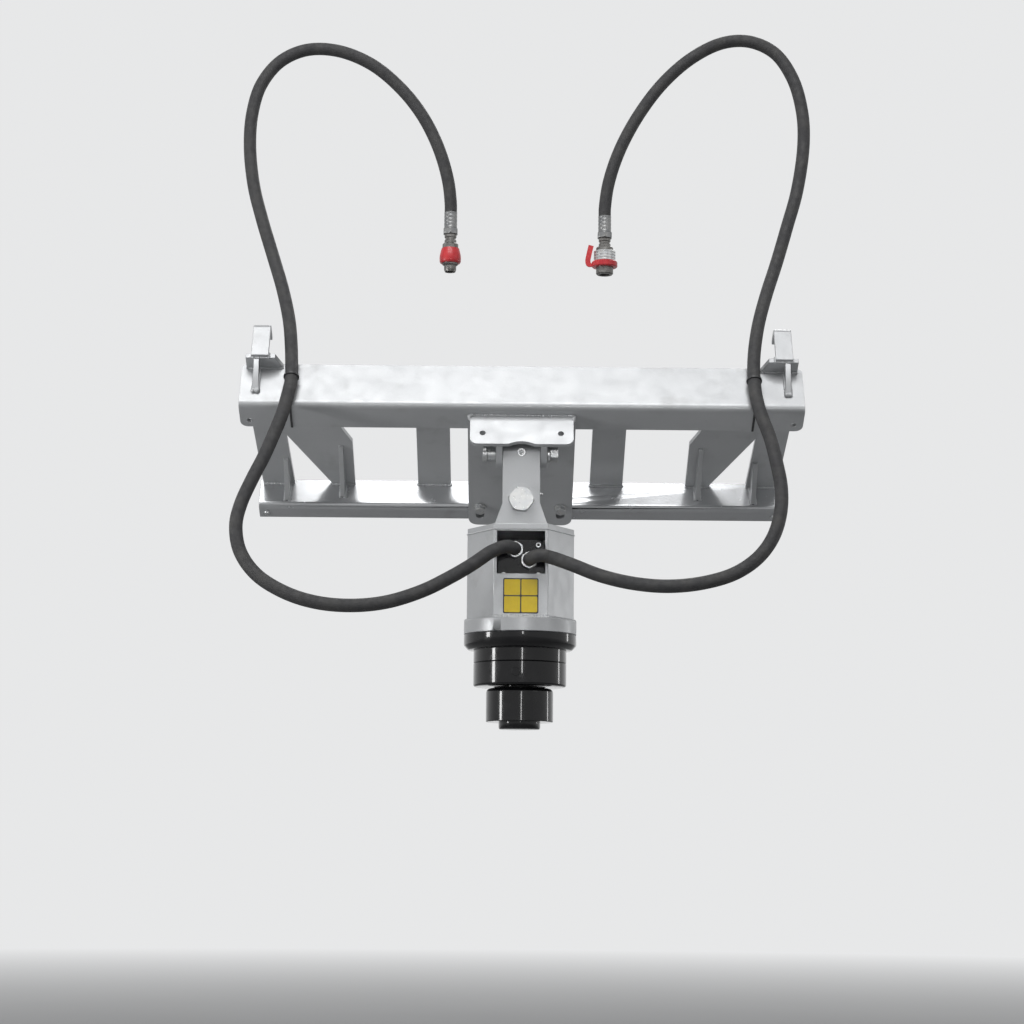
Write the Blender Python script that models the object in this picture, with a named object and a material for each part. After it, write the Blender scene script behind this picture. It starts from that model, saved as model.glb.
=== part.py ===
"""Earth auger drive: a hydraulic drive hung from a hook-on loader frame.

Metres, +Z up, X along the frame, -Y towards someone who stands in front of it.
The origin is the axis of the loader's round tube, midway between the two hooks.
The frame is tipped forward about X, as a loader holds it with its arms raised,
and the link and the drive hang plumb from the cross pin.
"""
from math import acos, atan2, cos, pi, radians, sin, tan

import bmesh
import bpy
from mathutils import Matrix, Vector

# Room left between pieces that touch, and between a shaft and its bore
GAP = 0.0003
# How far the frame is tipped forward about X
FRAME_TILT = radians(60)
STEEL_GREY = (0.60, 0.61, 0.62)

# Loader tube that the hooks hang on, and the hooks
TUBE_DIAMETER = 0.050
TUBE_CLEARANCE = 0.0005
HOOK_END_INSET = 0.0355
HOOK_THROAT = 0.061
HOOK_RISE = 0.0290
HOOK_STRAP_WIDTH = 0.032
HOOK_STRAP_WALL = 0.008
HOOK_STRAP_BEND = 0.011
HOOK_LIP_HEIGHT = 0.039
HOOK_PLATE_WALL = 0.010
HOOK_PLATE_OUTER = 0.0265
HOOK_PLATE_INNER = 0.0275
HOOK_PLATE_FLARE = 0.014
HOOK_RIB_WALL = 0.010
HOOK_RIB_LENGTH = 0.052
HOOK_RIB_OFFSET = 0.0065

# Top beam and bottom bar, both bent angles
BEAM_LENGTH = 1.030
HOOK_CENTRE = BEAM_LENGTH / 2 - HOOK_END_INSET
BEAM_DEPTH = 0.099
BEAM_FRONT = 0.061
BEAM_WALL = 0.008
BEAM_BEND = 0.012
BEAM_REAR_CORNER = 0.010
BEAM_FRONT_CORNER = 0.014
BEAM_HOLE_INSET = 0.018
BEAM_HOLE_DROP = 0.043
BEAM_HOLE_RADIUS = 0.005
BAR_LENGTH = 1.000
BAR_DEPTH = 0.064
BAR_FRONT = 0.036
BAR_WALL = 0.008
BAR_BEND = 0.010
BAR_DROP = 0.295

# Upright plates that stand on the rear edge of the bar
UPRIGHT_WALL = 0.010
POST_CENTRE = 0.165
POST_WIDTH = 0.063
SIDE_INNER = 0.3175
SIDE_INNER_STRIP = 0.0435
SIDE_CHAMFER = [(0.0, 0.126), (0.0165, 0.161), (0.0325, 0.205)]
SIDE_NOTCH_PEAK = (0.4405, 0.146)
SIDE_LEG_INSET = 0.0665
SIDE_LEG_FOOT = BAR_LENGTH / 2 - SIDE_LEG_INSET
SIDE_FOOT_INSET = 0.006
SIDE_TOP_INSET = 0.008
INNER_RIB_PLACE = 0.340
INNER_RIB_HEIGHT = 0.116
INNER_RIB_REACH = 0.032
OUTER_RIB_PLACE = 0.446
OUTER_RIB_HEIGHT = 0.077
OUTER_RIB_REACH = 0.041
BRACE_WALL = 0.009
RIB_EDGE = 0.004
# How deep a welded piece reaches into the one it is joined to
WELD_DEPTH = 0.001

# Bracket in front of the frame
BACK_PLATE_WIDTH = 0.197
BACK_PLATE_WALL = 0.010
BACK_PLATE_DROP = 0.336
BACK_PLATE_CORNER = 0.018
COVER_DROP = 0.023
COVER_WALL = 0.008
COVER_WIDTH = 0.188
COVER_REACH = 0.067
COVER_CORNER = 0.014
COVER_HOLE_SPREAD = 0.0709
COVER_HOLE_REACH = 0.042
COVER_HOLE_RADIUS = 0.0055
COVER_ARCH_WIDTH = 0.047
COVER_ARCH_DEPTH = 0.006
SLOT_EDGE = 0.022
SLOT_SPREAD = BACK_PLATE_WIDTH / 2 - SLOT_EDGE
SLOT_WIDTH = 0.016
SLOT_LENGTH = 0.042
SLOT_DROP = 0.295
BRACKET_BOLT_RISE = 0.013
BRACKET_BOLT_ACROSS = 0.019
BRACKET_BOLT_HEAD = 0.0075
BRACKET_BOLT_RADIUS = 0.006
BRACKET_WASHER_RADIUS = 0.0125
BRACKET_WASHER_WALL = 0.0025
BRACKET_NUT_HEIGHT = 0.010
BRACKET_THREAD_END = 0.004
TAB_WIDTH = 0.036
TAB_HEIGHT = 0.029
TAB_WALL = 0.010

# Cross pin, its lugs and the hanging link
PIN_SETBACK = 0.043
PIN_DROP = 0.070
PIN_DIAMETER = 0.025
PIN_HEAD_DIAMETER = 0.033
PIN_HEAD_HEIGHT = 0.008
PIN_SPACER_DIAMETER = 0.030
PIN_SPACER_LENGTH = 0.0155
PIN_WASHER_DIAMETER = 0.032
PIN_WASHER_LENGTH = 0.0055
PIN_THREAD_DIAMETER = 0.016
PIN_NUT_ACROSS = 0.024
PIN_NUT_HEIGHT = 0.014
LUG_WALL = 0.012
LUG_RADIUS = 0.026
LUG_FOOT_DROP = 0.045
LUG_NOSE_REACH = 0.014
LINK_WIDTH = 0.068
LINK_THICKNESS = 0.050
LINK_SIDE_PLAY = 0.0005
BUSH_WALL = 0.004
PIVOT_DROP = 0.089

# Ears, top plate, housing and the bolt that the drive sways on
SWAY_BOLT_DIAMETER = 0.027
SWAY_BOLT_ACROSS = 0.041
SWAY_HEAD_HEIGHT = 0.017
SWAY_NUT_HEIGHT = 0.022
SWAY_THREAD_END = 0.004
EAR_WALL = 0.012
EAR_TOP_RADIUS = 0.030
EAR_FOOT_WIDTH = 0.098
EAR_RISE = 0.049
TOP_PLATE_WALL = 0.010
HOUSING_ACROSS_CORNERS = 0.194
HOUSING_WALL = 0.006
HOUSING_HEIGHT = 0.158
WINDOW_WIDTH = 0.0855
WINDOW_HEIGHT = 0.076
WINDOW_TOP_INSET = 0.0035

# Hydraulic motor inside the housing
MOTOR_DIAMETER = 0.085
MOTOR_HEADROOM = 0.022
MOTOR_FLANGE_DIAMETER = 0.117
MOTOR_FLANGE_WALL = 0.012
MOTOR_SPIGOT = 0.006
PORT_BLOCK_WIDTH = 0.082
PORT_BLOCK_HEIGHT = 0.074
PORT_BLOCK_FRONT = 0.0705
PORT_BLOCK_BACK = 0.020
PORT_BLOCK_TOP_CORNER = 0.014
PORT_BLOCK_LOW_CORNER = 0.004
PORT_BLOCK_DROP = 0.0175
PORT_NUT_ACROSS = 0.027
PORT_NUT_HEIGHT = 0.018
LEFT_PORT = (-0.0107, -0.185)
RIGHT_PORT = (0.0143, -0.204)

# Ring flange and planetary gearbox
RING_DIAMETER = 0.203
RING_BORE = 0.120
RING_HEIGHT = 0.0245
NOTCH_ANGLE = radians(246)
NOTCH_WIDTH = 0.014
NOTCH_DEPTH = 0.005
NOTCH_HEIGHT = 0.004
CASE_DIAMETER = 0.1676
CASE_FLANGE_STRAIGHT = 0.019
CASE_FLANGE_CHAMFER = 0.008
CASE_HEIGHT = 0.0507
CASE_TOP_WALL = 0.011
CASE_TOP_BORE = 0.060
RING_GEAR_DIAMETER = 0.1524
RING_GEAR_HEIGHT = 0.038
OUTPUT_CASE_HEIGHT = 0.042
OUTPUT_CASE_ROUND = 0.004
OUTPUT_CASE_LIP = 0.0095
BEARING_DIAMETER = 0.1154
BEARING_WIDTH = 0.030
SEAL_DIAMETER = 0.0934
SEAL_WIDTH = 0.0085

# Gear set: the ring stands still and the carrier turns the output
GEAR_MODULE = 0.00275
SUN_TEETH = 12
PLANET_TEETH = 18
RING_TEETH = SUN_TEETH + 2 * PLANET_TEETH
PLANET_COUNT = 3
GEAR_WIDTH = 0.022
GEAR_RISE = 0.014
GEAR_ADDENDUM = 0.8
GEAR_DEDENDUM = 1.15
GEAR_THINNING = 0.00022
PRESSURE_ANGLE = radians(20)
PLANET_PIN_DIAMETER = 0.016
CARRIER_DIAMETER = 0.116
CARRIER_WALL = 0.010
CARRIER_CLEARANCE = 0.0008
MOTOR_SHAFT_DIAMETER = 0.025
MOTOR_SHAFT_REACH = 0.030

# Output shaft, its hub and the stub that the auger slides on
SHAFT_DIAMETER = 0.064
SPIGOT_DIAMETER = 0.040
HUB_DIAMETER = 0.121
HUB_HEIGHT = 0.060
HUB_ROUND = 0.008
HUB_SPACING = 0.003
STUB_DIAMETER = 0.075
STUB_HEIGHT = 0.013
STUB_ROUND = 0.003

# Hoses and their fittings; route points are measured from the cross pin's middle
HOSE_DIAMETER = 0.024
HOSE_POINT_SPACING = 0.055
HOSE_STRAIGHT = 0.012
ELBOW_DIAMETER = 0.0236
TIE_REAR = 0.055
TIE_RISE = 0.0152
TIE_WALL = 0.002
TIE_WIDTH = 0.004
TIE_STRAP_WALL = 0.0015
TIE_STRAP_REACH = 0.066
LEFT_TIE = -0.421
RIGHT_TIE = 0.4235
LEFT_ELBOW_END = (-0.042, -0.113, -0.1880)
LEFT_ELBOW_HEADING = (-0.90, -0.10, -0.42)
RIGHT_ELBOW_END = (0.047, -0.114, -0.2010)
RIGHT_ELBOW_HEADING = (0.96, -0.08, -0.28)
LEFT_LOWER_ROUTE = [
    (-0.088, -0.128, -0.2190),
    (-0.126, -0.139, -0.2430),
    (-0.173, -0.150, -0.2680),
    (-0.235, -0.160, -0.2890),
    (-0.297, -0.165, -0.2960),
    (-0.359, -0.165, -0.2905),
    (-0.414, -0.160, -0.2725),
    (-0.464, -0.150, -0.2405),
    (-0.494, -0.140, -0.1985),
    (-0.503, -0.130, -0.1525),
    (-0.497, -0.116, -0.113),
    (-0.480, -0.102, -0.067),
    (-0.461, -0.088, -0.023),
    (-0.446, -0.075, 0.018),
    (-0.432, -0.060, 0.061),
    (-0.425, -0.0415, 0.0978),
]
RIGHT_LOWER_ROUTE = [
    (0.090, -0.127, -0.2170),
    (0.139, -0.139, -0.2370),
    (0.197, -0.150, -0.2515),
    (0.258, -0.160, -0.2570),
    (0.320, -0.165, -0.2505),
    (0.374, -0.161, -0.233),
    (0.416, -0.151, -0.203),
    (0.443, -0.141, -0.165),
    (0.457, -0.131, -0.120),
    (0.460, -0.116, -0.075),
    (0.454, -0.100, -0.028),
    (0.445, -0.079, 0.021),
    (0.433, -0.060, 0.062),
    (0.4255, -0.0415, 0.0978),
]
LEFT_UPPER_ROUTE = [
    (-0.4225, -0.0018, 0.1680),
    (-0.425, 0.013, 0.198),
    (-0.432, 0.038, 0.252),
    (-0.448, 0.066, 0.319),
    (-0.471, 0.090, 0.392),
    (-0.494, 0.110, 0.464),
    (-0.514, 0.130, 0.538),
    (-0.525, 0.148, 0.622),
    (-0.523, 0.160, 0.690),
    (-0.508, 0.170, 0.750),
    (-0.473, 0.178, 0.799),
    (-0.424, 0.185, 0.825),
    (-0.364, 0.190, 0.826),
    (-0.299, 0.195, 0.802),
    (-0.243, 0.200, 0.758),
    (-0.198, 0.200, 0.702),
    (-0.165, 0.200, 0.637),
    (-0.145, 0.200, 0.570),
]
RIGHT_UPPER_ROUTE = [
    (0.4245, -0.0018, 0.1680),
    (0.428, 0.013, 0.202),
    (0.438, 0.037, 0.255),
    (0.455, 0.062, 0.315),
    (0.478, 0.087, 0.384),
    (0.501, 0.108, 0.460),
    (0.523, 0.128, 0.536),
    (0.539, 0.150, 0.635),
    (0.538, 0.160, 0.702),
    (0.521, 0.172, 0.774),
    (0.487, 0.180, 0.827),
    (0.439, 0.186, 0.851),
    (0.388, 0.190, 0.849),
    (0.330, 0.195, 0.821),
    (0.273, 0.200, 0.771),
    (0.224, 0.200, 0.704),
    (0.187, 0.200, 0.632),
    (0.166, 0.200, 0.566),
]
LEFT_HOSE_END = (-0.139, 0.200, 0.507)
RIGHT_HOSE_END = (0.159, 0.200, 0.502)
FERRULE_DIAMETER = 0.0250
FERRULE_LENGTH = 0.033
SWIVEL_ACROSS = 0.027
SWIVEL_HEIGHT = 0.011
COUPLER_NECK_DIAMETER = 0.023
COUPLER_NECK_LENGTH = 0.018
PLUG_BODY_DIAMETER = 0.0305
PLUG_BODY_LENGTH = 0.056
DUST_RING_WALL = 0.0035
DUST_RING_HEIGHT = 0.029
DUST_RING_DROP = 0.010
SOCKET_BODY_DIAMETER = 0.033
SOCKET_BODY_LENGTH = 0.054
SLEEVE_DIAMETER = 0.042
SLEEVE_LENGTH = 0.020
SLEEVE_DROP = 0.008
CAP_BAND_WALL = 0.008
CAP_BAND_HEIGHT = 0.011
CAP_STRAP_WALL = 0.003
CAP_STRAP_WIDTH = 0.012
CAP_STRAP_RISE = 0.012

# Places worked out from the sizes above, in the tipped frame's own Y and Z
BEAM_REAR_Y = -HOOK_THROAT / 2
BEAM_FRONT_Y = BEAM_REAR_Y - BEAM_DEPTH
STRAP_UNDER_Z = TUBE_DIAMETER / 2 + TUBE_CLEARANCE
BEAM_TOP_Z = STRAP_UNDER_Z - HOOK_RISE
BEAM_UNDER_Z = BEAM_TOP_Z - BEAM_WALL
BAR_TOP_Z = BEAM_TOP_Z - BAR_DROP
BAR_REAR_Y = BEAM_FRONT_Y + BAR_DEPTH
UPRIGHT_FRONT_Y = BAR_REAR_Y - UPRIGHT_WALL
PLATE_REAR_Y = BEAM_FRONT_Y - GAP
PLATE_FRONT_Y = PLATE_REAR_Y - BACK_PLATE_WALL
PIN_Y = PLATE_FRONT_Y - PIN_SETBACK
PIN_Z = BEAM_TOP_Z - PIN_DROP
COVER_TOP_Z = BEAM_TOP_Z - COVER_DROP
COVER_UNDER_Z = COVER_TOP_Z - COVER_WALL
BRACKET_BOLT_Z = BEAM_TOP_Z - SLOT_DROP + BRACKET_BOLT_RISE
TILT = Matrix.Rotation(FRAME_TILT, 4, "X")
PIN_POINT = TILT @ Vector((0, PIN_Y, PIN_Z))

# Places of the drive's pieces, measured from the cross pin's middle
LUG_INNER_X = LINK_WIDTH / 2 + LINK_SIDE_PLAY
LUG_OUTER_X = LUG_INNER_X + LUG_WALL
PIN_HEAD_X = -LUG_OUTER_X - PIN_SPACER_LENGTH - 2 * GAP
PIN_NUT_X = LUG_OUTER_X + PIN_WASHER_LENGTH + 2 * GAP
EAR_INNER_Y = LINK_THICKNESS / 2 + LINK_SIDE_PLAY
EAR_OUTER_Y = EAR_INNER_Y + EAR_WALL
TOP_PLATE_Z = -PIVOT_DROP - EAR_RISE
HOUSING_TOP_Z = TOP_PLATE_Z - TOP_PLATE_WALL - GAP
HOUSING_LOW_Z = HOUSING_TOP_Z - HOUSING_HEIGHT
HOUSING_FRONT_Y = -HOUSING_ACROSS_CORNERS / 2 * cos(pi / 6)
WINDOW_TOP_Z = HOUSING_TOP_Z - WINDOW_TOP_INSET
WINDOW_LOW_Z = WINDOW_TOP_Z - WINDOW_HEIGHT
RING_TOP_Z = HOUSING_LOW_Z - GAP
RING_LOW_Z = RING_TOP_Z - RING_HEIGHT
CASE_TOP_Z = RING_LOW_Z - GAP
CASE_SEAM_Z = CASE_TOP_Z - CASE_HEIGHT
OUTPUT_TOP_Z = CASE_SEAM_Z - GAP
OUTPUT_LOW_Z = OUTPUT_TOP_Z - OUTPUT_CASE_HEIGHT
GEAR_LOW_Z = CASE_SEAM_Z + GEAR_RISE
GEAR_TOP_Z = GEAR_LOW_Z + GEAR_WIDTH
CARRIER_TOP_Z = GEAR_LOW_Z - CARRIER_CLEARANCE
CARRIER_LOW_Z = CARRIER_TOP_Z - CARRIER_WALL
HUB_TOP_Z = OUTPUT_LOW_Z - HUB_SPACING
HUB_LOW_Z = HUB_TOP_Z - HUB_HEIGHT
MOTOR_TOP_Z = HOUSING_TOP_Z - MOTOR_HEADROOM
MOTOR_LOW_Z = CASE_TOP_Z + GAP
MOTOR_FLANGE_Z = MOTOR_LOW_Z + MOTOR_FLANGE_WALL
MOTOR_SHAFT_TOP_Z = MOTOR_LOW_Z + MOTOR_SHAFT_REACH
PORT_BLOCK_TOP_Z = HOUSING_TOP_Z - PORT_BLOCK_DROP
PORT_BLOCK_LOW_Z = PORT_BLOCK_TOP_Z - PORT_BLOCK_HEIGHT
PLANET_CIRCLE = GEAR_MODULE * (SUN_TEETH + PLANET_TEETH) / 2


def clear_scene():
    for item in list(bpy.data.objects):
        bpy.data.objects.remove(item, do_unlink=True)


def guide(name, location, parent=None, tilt=0.0):
    """An empty that pieces are placed on; a joint's guide stands on its axis."""
    item = bpy.data.objects.new(name, None)
    bpy.context.collection.objects.link(item)
    item.location = location
    item.rotation_euler.x = tilt
    item.parent = parent
    return item


def add(name, mesh, parent, colour, roughness, metallic, smooth=False, drop=0.0):
    """A named piece with its own material, on its guide.

    Its mesh is measured from the cross pin; drop says how far its guide is below that.
    """
    piece = bpy.data.objects.new(name, mesh)
    bpy.context.collection.objects.link(piece)
    piece.parent = parent
    piece.location.z = drop
    coat = bpy.data.materials.new(name)
    coat.use_nodes = True
    shader = coat.node_tree.nodes["Principled BSDF"]
    shader.inputs["Base Color"].default_value = (*colour, 1)
    shader.inputs["Roughness"].default_value = roughness
    shader.inputs["Metallic"].default_value = metallic
    mesh.materials.append(coat)
    if smooth:
        mesh.shade_smooth()
        mesh.set_sharp_from_angle(angle=radians(35))
    return piece


def painted(name, mesh, parent, smooth=False, drop=0.0):
    return add(name, mesh, parent, STEEL_GREY, 0.35, 0.3, smooth, drop)


def zinc(name, mesh, parent, smooth=False, drop=0.0):
    return add(name, mesh, parent, (0.72, 0.73, 0.74), 0.3, 0.9, smooth, drop)


def steel(name, mesh, parent, smooth=False, drop=0.0):
    return add(name, mesh, parent, (0.45, 0.45, 0.46), 0.35, 1.0, smooth, drop)


def black(name, mesh, parent, smooth=False, drop=0.0):
    return add(name, mesh, parent, (0.02, 0.02, 0.022), 0.22, 0.0, smooth, drop)


def as_mesh(work, name):
    bmesh.ops.recalc_face_normals(work, faces=work.faces)
    mesh = bpy.data.meshes.new(name)
    work.to_mesh(mesh)
    work.free()
    return mesh


def join(*meshes):
    """Several bodies as the separate solids of one mesh."""
    work = bmesh.new()
    for mesh in meshes:
        work.from_mesh(mesh)
    merged = bpy.data.meshes.new("joined")
    work.to_mesh(merged)
    work.free()
    return merged


def extruded(outline, low, high, plane):
    """A flat outline pushed from low to high along the axis that the plane leaves out."""
    place = {
        "YZ": lambda a, b, c: (c, a, b),
        "XZ": lambda a, b, c: (a, c, b),
        "XY": lambda a, b, c: (a, b, c),
    }[plane]
    work = bmesh.new()
    floor = [work.verts.new(place(a, b, low)) for a, b in outline]
    face = work.faces.new(floor)
    pushed = bmesh.ops.extrude_face_region(work, geom=[face])
    lifted = [item for item in pushed["geom"] if isinstance(item, bmesh.types.BMVert)]
    bmesh.ops.translate(work, verts=lifted, vec=Vector(place(0, 0, high - low)))
    return as_mesh(work, "extruded")


def box(x0, x1, y0, y1, z0, z1):
    return extruded([(x0, y0), (x1, y0), (x1, y1), (x0, y1)], z0, z1, "XY")


def turned(profile, segments=32, axis="Z"):
    """A closed profile of (radius, height) points turned about the axis."""
    work = bmesh.new()
    rings = []
    for radius, height in profile:
        if radius < 1e-6:
            rings.append([work.verts.new((0, 0, height))])
            continue
        angles = [2 * pi * step / segments for step in range(segments)]
        rings.append([work.verts.new((radius * cos(t), radius * sin(t), height)) for t in angles])
    for index, ring in enumerate(rings):
        other = rings[(index + 1) % len(rings)]
        if len(ring) == 1 and len(other) == 1:
            continue
        for step in range(segments):
            after = step + 1
            corners = [ring[step % len(ring)], ring[after % len(ring)]]
            corners += [other[after % len(other)], other[step % len(other)]]
            work.faces.new(list(dict.fromkeys(corners)))
    turn = {
        "Z": Matrix.Identity(4),
        "X": Matrix.Rotation(pi / 2, 4, "Y"),
        "Y": Matrix.Rotation(-pi / 2, 4, "X"),
    }[axis]
    bmesh.ops.transform(work, matrix=turn, verts=work.verts)
    return as_mesh(work, "turned")


def rod(radius, low, high, axis="Z", segments=24):
    return turned([(0, low), (radius, low), (radius, high), (0, high)], segments, axis)


def tube(inner, outer, low, high, axis="Z", segments=32):
    profile = [(inner, low), (outer, low), (outer, high), (inner, high)]
    return turned(profile, segments, axis)


def hexagon(across_flats, turn=0.0):
    radius = across_flats / 2 / cos(pi / 6)
    angles = [turn + pi / 3 * step for step in range(6)]
    return [(radius * cos(angle), radius * sin(angle)) for angle in angles]


def moved(mesh, x=0.0, y=0.0, z=0.0):
    mesh.transform(Matrix.Translation((x, y, z)))
    return mesh


def mirrored(mesh):
    """The same shape on the other side of the frame's middle."""
    copy = mesh.copy()
    copy.transform(Matrix.Scale(-1, 4, Vector((1, 0, 0))))
    copy.flip_normals()
    return copy


def both_sides(mesh):
    return join(mesh, mirrored(mesh))


def pair(name, mesh, parent, coat, smooth=False, joined=(), cuts=()):
    """A right-hand piece and its mirror image, each welded to and cut by the same shapes."""
    for side, shape in (("left", mirrored), ("right", lambda mesh: mesh.copy())):
        piece = coat(f"{side}_{name}", shape(mesh), parent, smooth=smooth)
        cut(piece, *[shape(other) for other in joined], operation="UNION")
        cut(piece, *[shape(other) for other in cuts])


def arc(centre, radius, first, last, steps):
    angles = [first + (last - first) * step / steps for step in range(steps + 1)]
    return [(centre[0] + radius * cos(t), centre[1] + radius * sin(t)) for t in angles]


def rounded(corners, steps=5):
    """An outline whose corners (a, b, radius) are replaced by arcs."""
    outline = []
    count = len(corners)
    for index, (a, b, radius) in enumerate(corners):
        here = Vector((a, b))
        if radius <= 0:
            outline.append((a, b))
            continue
        before = (Vector(corners[index - 1][:2]) - here).normalized()
        after = (Vector(corners[(index + 1) % count][:2]) - here).normalized()
        half = before.angle(after) / 2
        start = here + before * radius / tan(half)
        end = here + after * radius / tan(half)
        centre = here + (before + after).normalized() * radius / sin(half)
        first = atan2(start.y - centre.y, start.x - centre.x)
        sweep = atan2(end.y - centre.y, end.x - centre.x) - first
        sweep = (sweep + pi) % (2 * pi) - pi
        outline += arc(centre, radius, first, first + sweep, steps)
    return outline


def cut(piece, *meshes, operation="DIFFERENCE"):
    """Booleans whose cutters stay in the file as hidden guides beside the piece."""
    for mesh in meshes:
        index = len(piece.modifiers)
        cutter = bpy.data.objects.new(f"{piece.name}.guide_{index}", mesh)
        bpy.context.collection.objects.link(cutter)
        cutter.parent = piece.parent
        cutter.location = piece.location
        cutter.hide_render = True
        cutter.display_type = "WIRE"
        modifier = piece.modifiers.new(f"cut {index}", "BOOLEAN")
        modifier.operation = operation
        modifier.solver = "EXACT"
        modifier.object = cutter
    return piece


def twelve_points(radius):
    """A bore's circle whose points fall in line with a hexagon's corners and flats."""
    angles = [pi / 6 * (step + 1) for step in range(12)]
    return [(radius * cos(angle), radius * sin(angle)) for angle in angles]


def hex_radii(across):
    return across / 2 / cos(pi / 6), across / 2


def stepped(steps):
    """A closed stack along Y of rings given as (radius at the corners, radius at the flats, y)."""
    work = bmesh.new()
    rings = []
    for corner, flat, height in steps:
        inner = twelve_points(flat)
        outer = twelve_points(corner)
        places = [outer[step] if step % 2 == 0 else inner[step] for step in range(12)]
        rings.append([work.verts.new((a, height, b)) for a, b in places])
    work.faces.new(rings[0])
    work.faces.new(rings[-1])
    for near, far in zip(rings, rings[1:]):
        for step in range(12):
            after = (step + 1) % 12
            work.faces.new((near[step], near[after], far[after], far[step]))
    return as_mesh(work, "stepped")


def hex_nut(across, radius, low, high, axis="Y"):
    """A hexagonal nut from low to high on the axis; the flats of its bore clear the radius."""
    bore = radius / cos(pi / 12)
    work = bmesh.new()
    outer = []
    inner = []
    for height in (low, high):
        outer.append([work.verts.new((a, height, b)) for a, b in hexagon(across, pi / 6)])
        inner.append([work.verts.new((a, height, b)) for a, b in twelve_points(bore)])
        for step in range(6):
            after = (step + 1) % 6
            near = [inner[-1][2 * after], inner[-1][2 * step + 1], inner[-1][2 * step]]
            work.faces.new([outer[-1][step], outer[-1][after], *near])
    for rings in (outer, inner):
        count = len(rings[0])
        for step in range(count):
            after = (step + 1) % count
            work.faces.new((rings[0][step], rings[0][after], rings[1][after], rings[1][step]))
    if axis == "X":
        bmesh.ops.transform(work, matrix=Matrix.Rotation(-pi / 2, 4, "Z"), verts=work.verts)
    return as_mesh(work, "nut")


def around(mesh, circle, count, z=0.0, first=0.0):
    """Copies of a mesh spaced on a circle about Z."""
    copies = []
    for index in range(count):
        angle = first + 2 * pi * index / count
        copies.append(moved(mesh.copy(), circle / 2 * cos(angle), circle / 2 * sin(angle), z))
    return copies


def smooth_path(points, before, after, spacing):
    """Even points along a smooth curve through the given ones, ends included."""
    knots = [Vector(point) for point in [before, *points, after]]
    dense = []
    for index in range(1, len(knots) - 2):
        p0, p1, p2, p3 = knots[index - 1 : index + 3]
        t1 = (p1 - p0).length ** 0.5
        t2 = t1 + (p2 - p1).length ** 0.5
        t3 = t2 + (p3 - p2).length ** 0.5
        for step in range(24):
            t = t1 + (t2 - t1) * step / 24
            a1 = p0.lerp(p1, t / t1)
            a2 = p1.lerp(p2, (t - t1) / (t2 - t1))
            a3 = p2.lerp(p3, (t - t2) / (t3 - t2))
            b1 = a1.lerp(a2, t / t2)
            b2 = a2.lerp(a3, (t - t1) / (t3 - t1))
            dense.append(b1.lerp(b2, (t - t1) / (t2 - t1)))
    dense.append(knots[-2])
    runs = [0.0]
    for near, far in zip(dense, dense[1:]):
        runs.append(runs[-1] + (far - near).length)
    count = max(2, round(runs[-1] / spacing))
    path = []
    at = 0
    for step in range(count):
        wanted = runs[-1] * step / count
        while runs[at + 1] < wanted:
            at += 1
        share = (wanted - runs[at]) / (runs[at + 1] - runs[at])
        path.append(dense[at].lerp(dense[at + 1], share))
    path.append(dense[-1])
    return path


def pipe(name, path, diameter, parent, colour, roughness, drop=0.0):
    """A round tube along a path, as a curve with a bevel and filled ends."""
    curve = bpy.data.curves.new(name, "CURVE")
    curve.dimensions = "3D"
    curve.bevel_depth = diameter / 2
    curve.bevel_resolution = 3
    curve.use_fill_caps = True
    spline = curve.splines.new("POLY")
    spline.points.add(len(path) - 1)
    for point, place in zip(spline.points, path):
        point.co = (*place, 1)
    return add(name, curve, parent, colour, roughness, 0.0, drop=drop)


def hose(name, start, start_heading, route, end, end_heading, parent):
    """A hose with a short straight run at each end, so that it meets its fittings squarely."""
    leave = Vector(start_heading).normalized()
    arrive = Vector(end_heading).normalized()
    first = Vector(start) + leave * GAP
    last = Vector(end) - arrive * GAP
    lead_in = first + leave * HOSE_STRAIGHT
    lead_out = last - arrive * HOSE_STRAIGHT
    path = smooth_path([lead_in, *route, lead_out], first, last, HOSE_POINT_SPACING)
    return pipe(name, [first, *path, last], HOSE_DIAMETER, parent, (0.03, 0.03, 0.032), 0.6)


def bend(start, start_heading, end, end_heading, steps):
    """Points on a swept bend that leaves and arrives along its headings."""
    pull = (end - start).length * 1.15
    points = []
    for step in range(steps + 1):
        t = step / steps
        point = start * (2 * t**3 - 3 * t**2 + 1) + start_heading * pull * (t**3 - 2 * t**2 + t)
        point += end * (3 * t**2 - 2 * t**3) + end_heading * pull * (t**3 - t**2)
        points.append(point)
    return points


def gear_outline(teeth, low_radius, high_radius, width, turn):
    """Involute teeth about the middle; width is a tooth's width on the pitch circle."""
    pitch = GEAR_MODULE * teeth / 2
    base = pitch * cos(PRESSURE_ANGLE)
    involute = tan(PRESSURE_ANGLE) - PRESSURE_ANGLE

    def half_angle(radius):
        pressure = acos(min(1.0, base / radius))
        return width / 2 / pitch + involute - (tan(pressure) - pressure)

    flank_start = max(low_radius, base)
    flank = [flank_start + (high_radius - flank_start) * step / 2 for step in range(3)]
    if low_radius < base - 0.0001:
        flank.insert(0, low_radius)
    outline = []
    for tooth in range(teeth):
        middle = turn + 2 * pi * tooth / teeth
        for radius in flank:
            outline.append((radius, middle - half_angle(max(radius, base))))
        for radius in reversed(flank):
            outline.append((radius, middle + half_angle(max(radius, base))))
    return [(radius * cos(angle), radius * sin(angle)) for radius, angle in outline]


def outer_gear(teeth, turn):
    pitch = GEAR_MODULE * teeth / 2
    low = pitch - GEAR_DEDENDUM * GEAR_MODULE
    high = pitch + GEAR_ADDENDUM * GEAR_MODULE
    outline = gear_outline(teeth, low, high, pi * GEAR_MODULE / 2 - 2 * GEAR_THINNING, turn)
    return extruded(outline, GEAR_LOW_Z, GEAR_TOP_Z, "XY")


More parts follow.
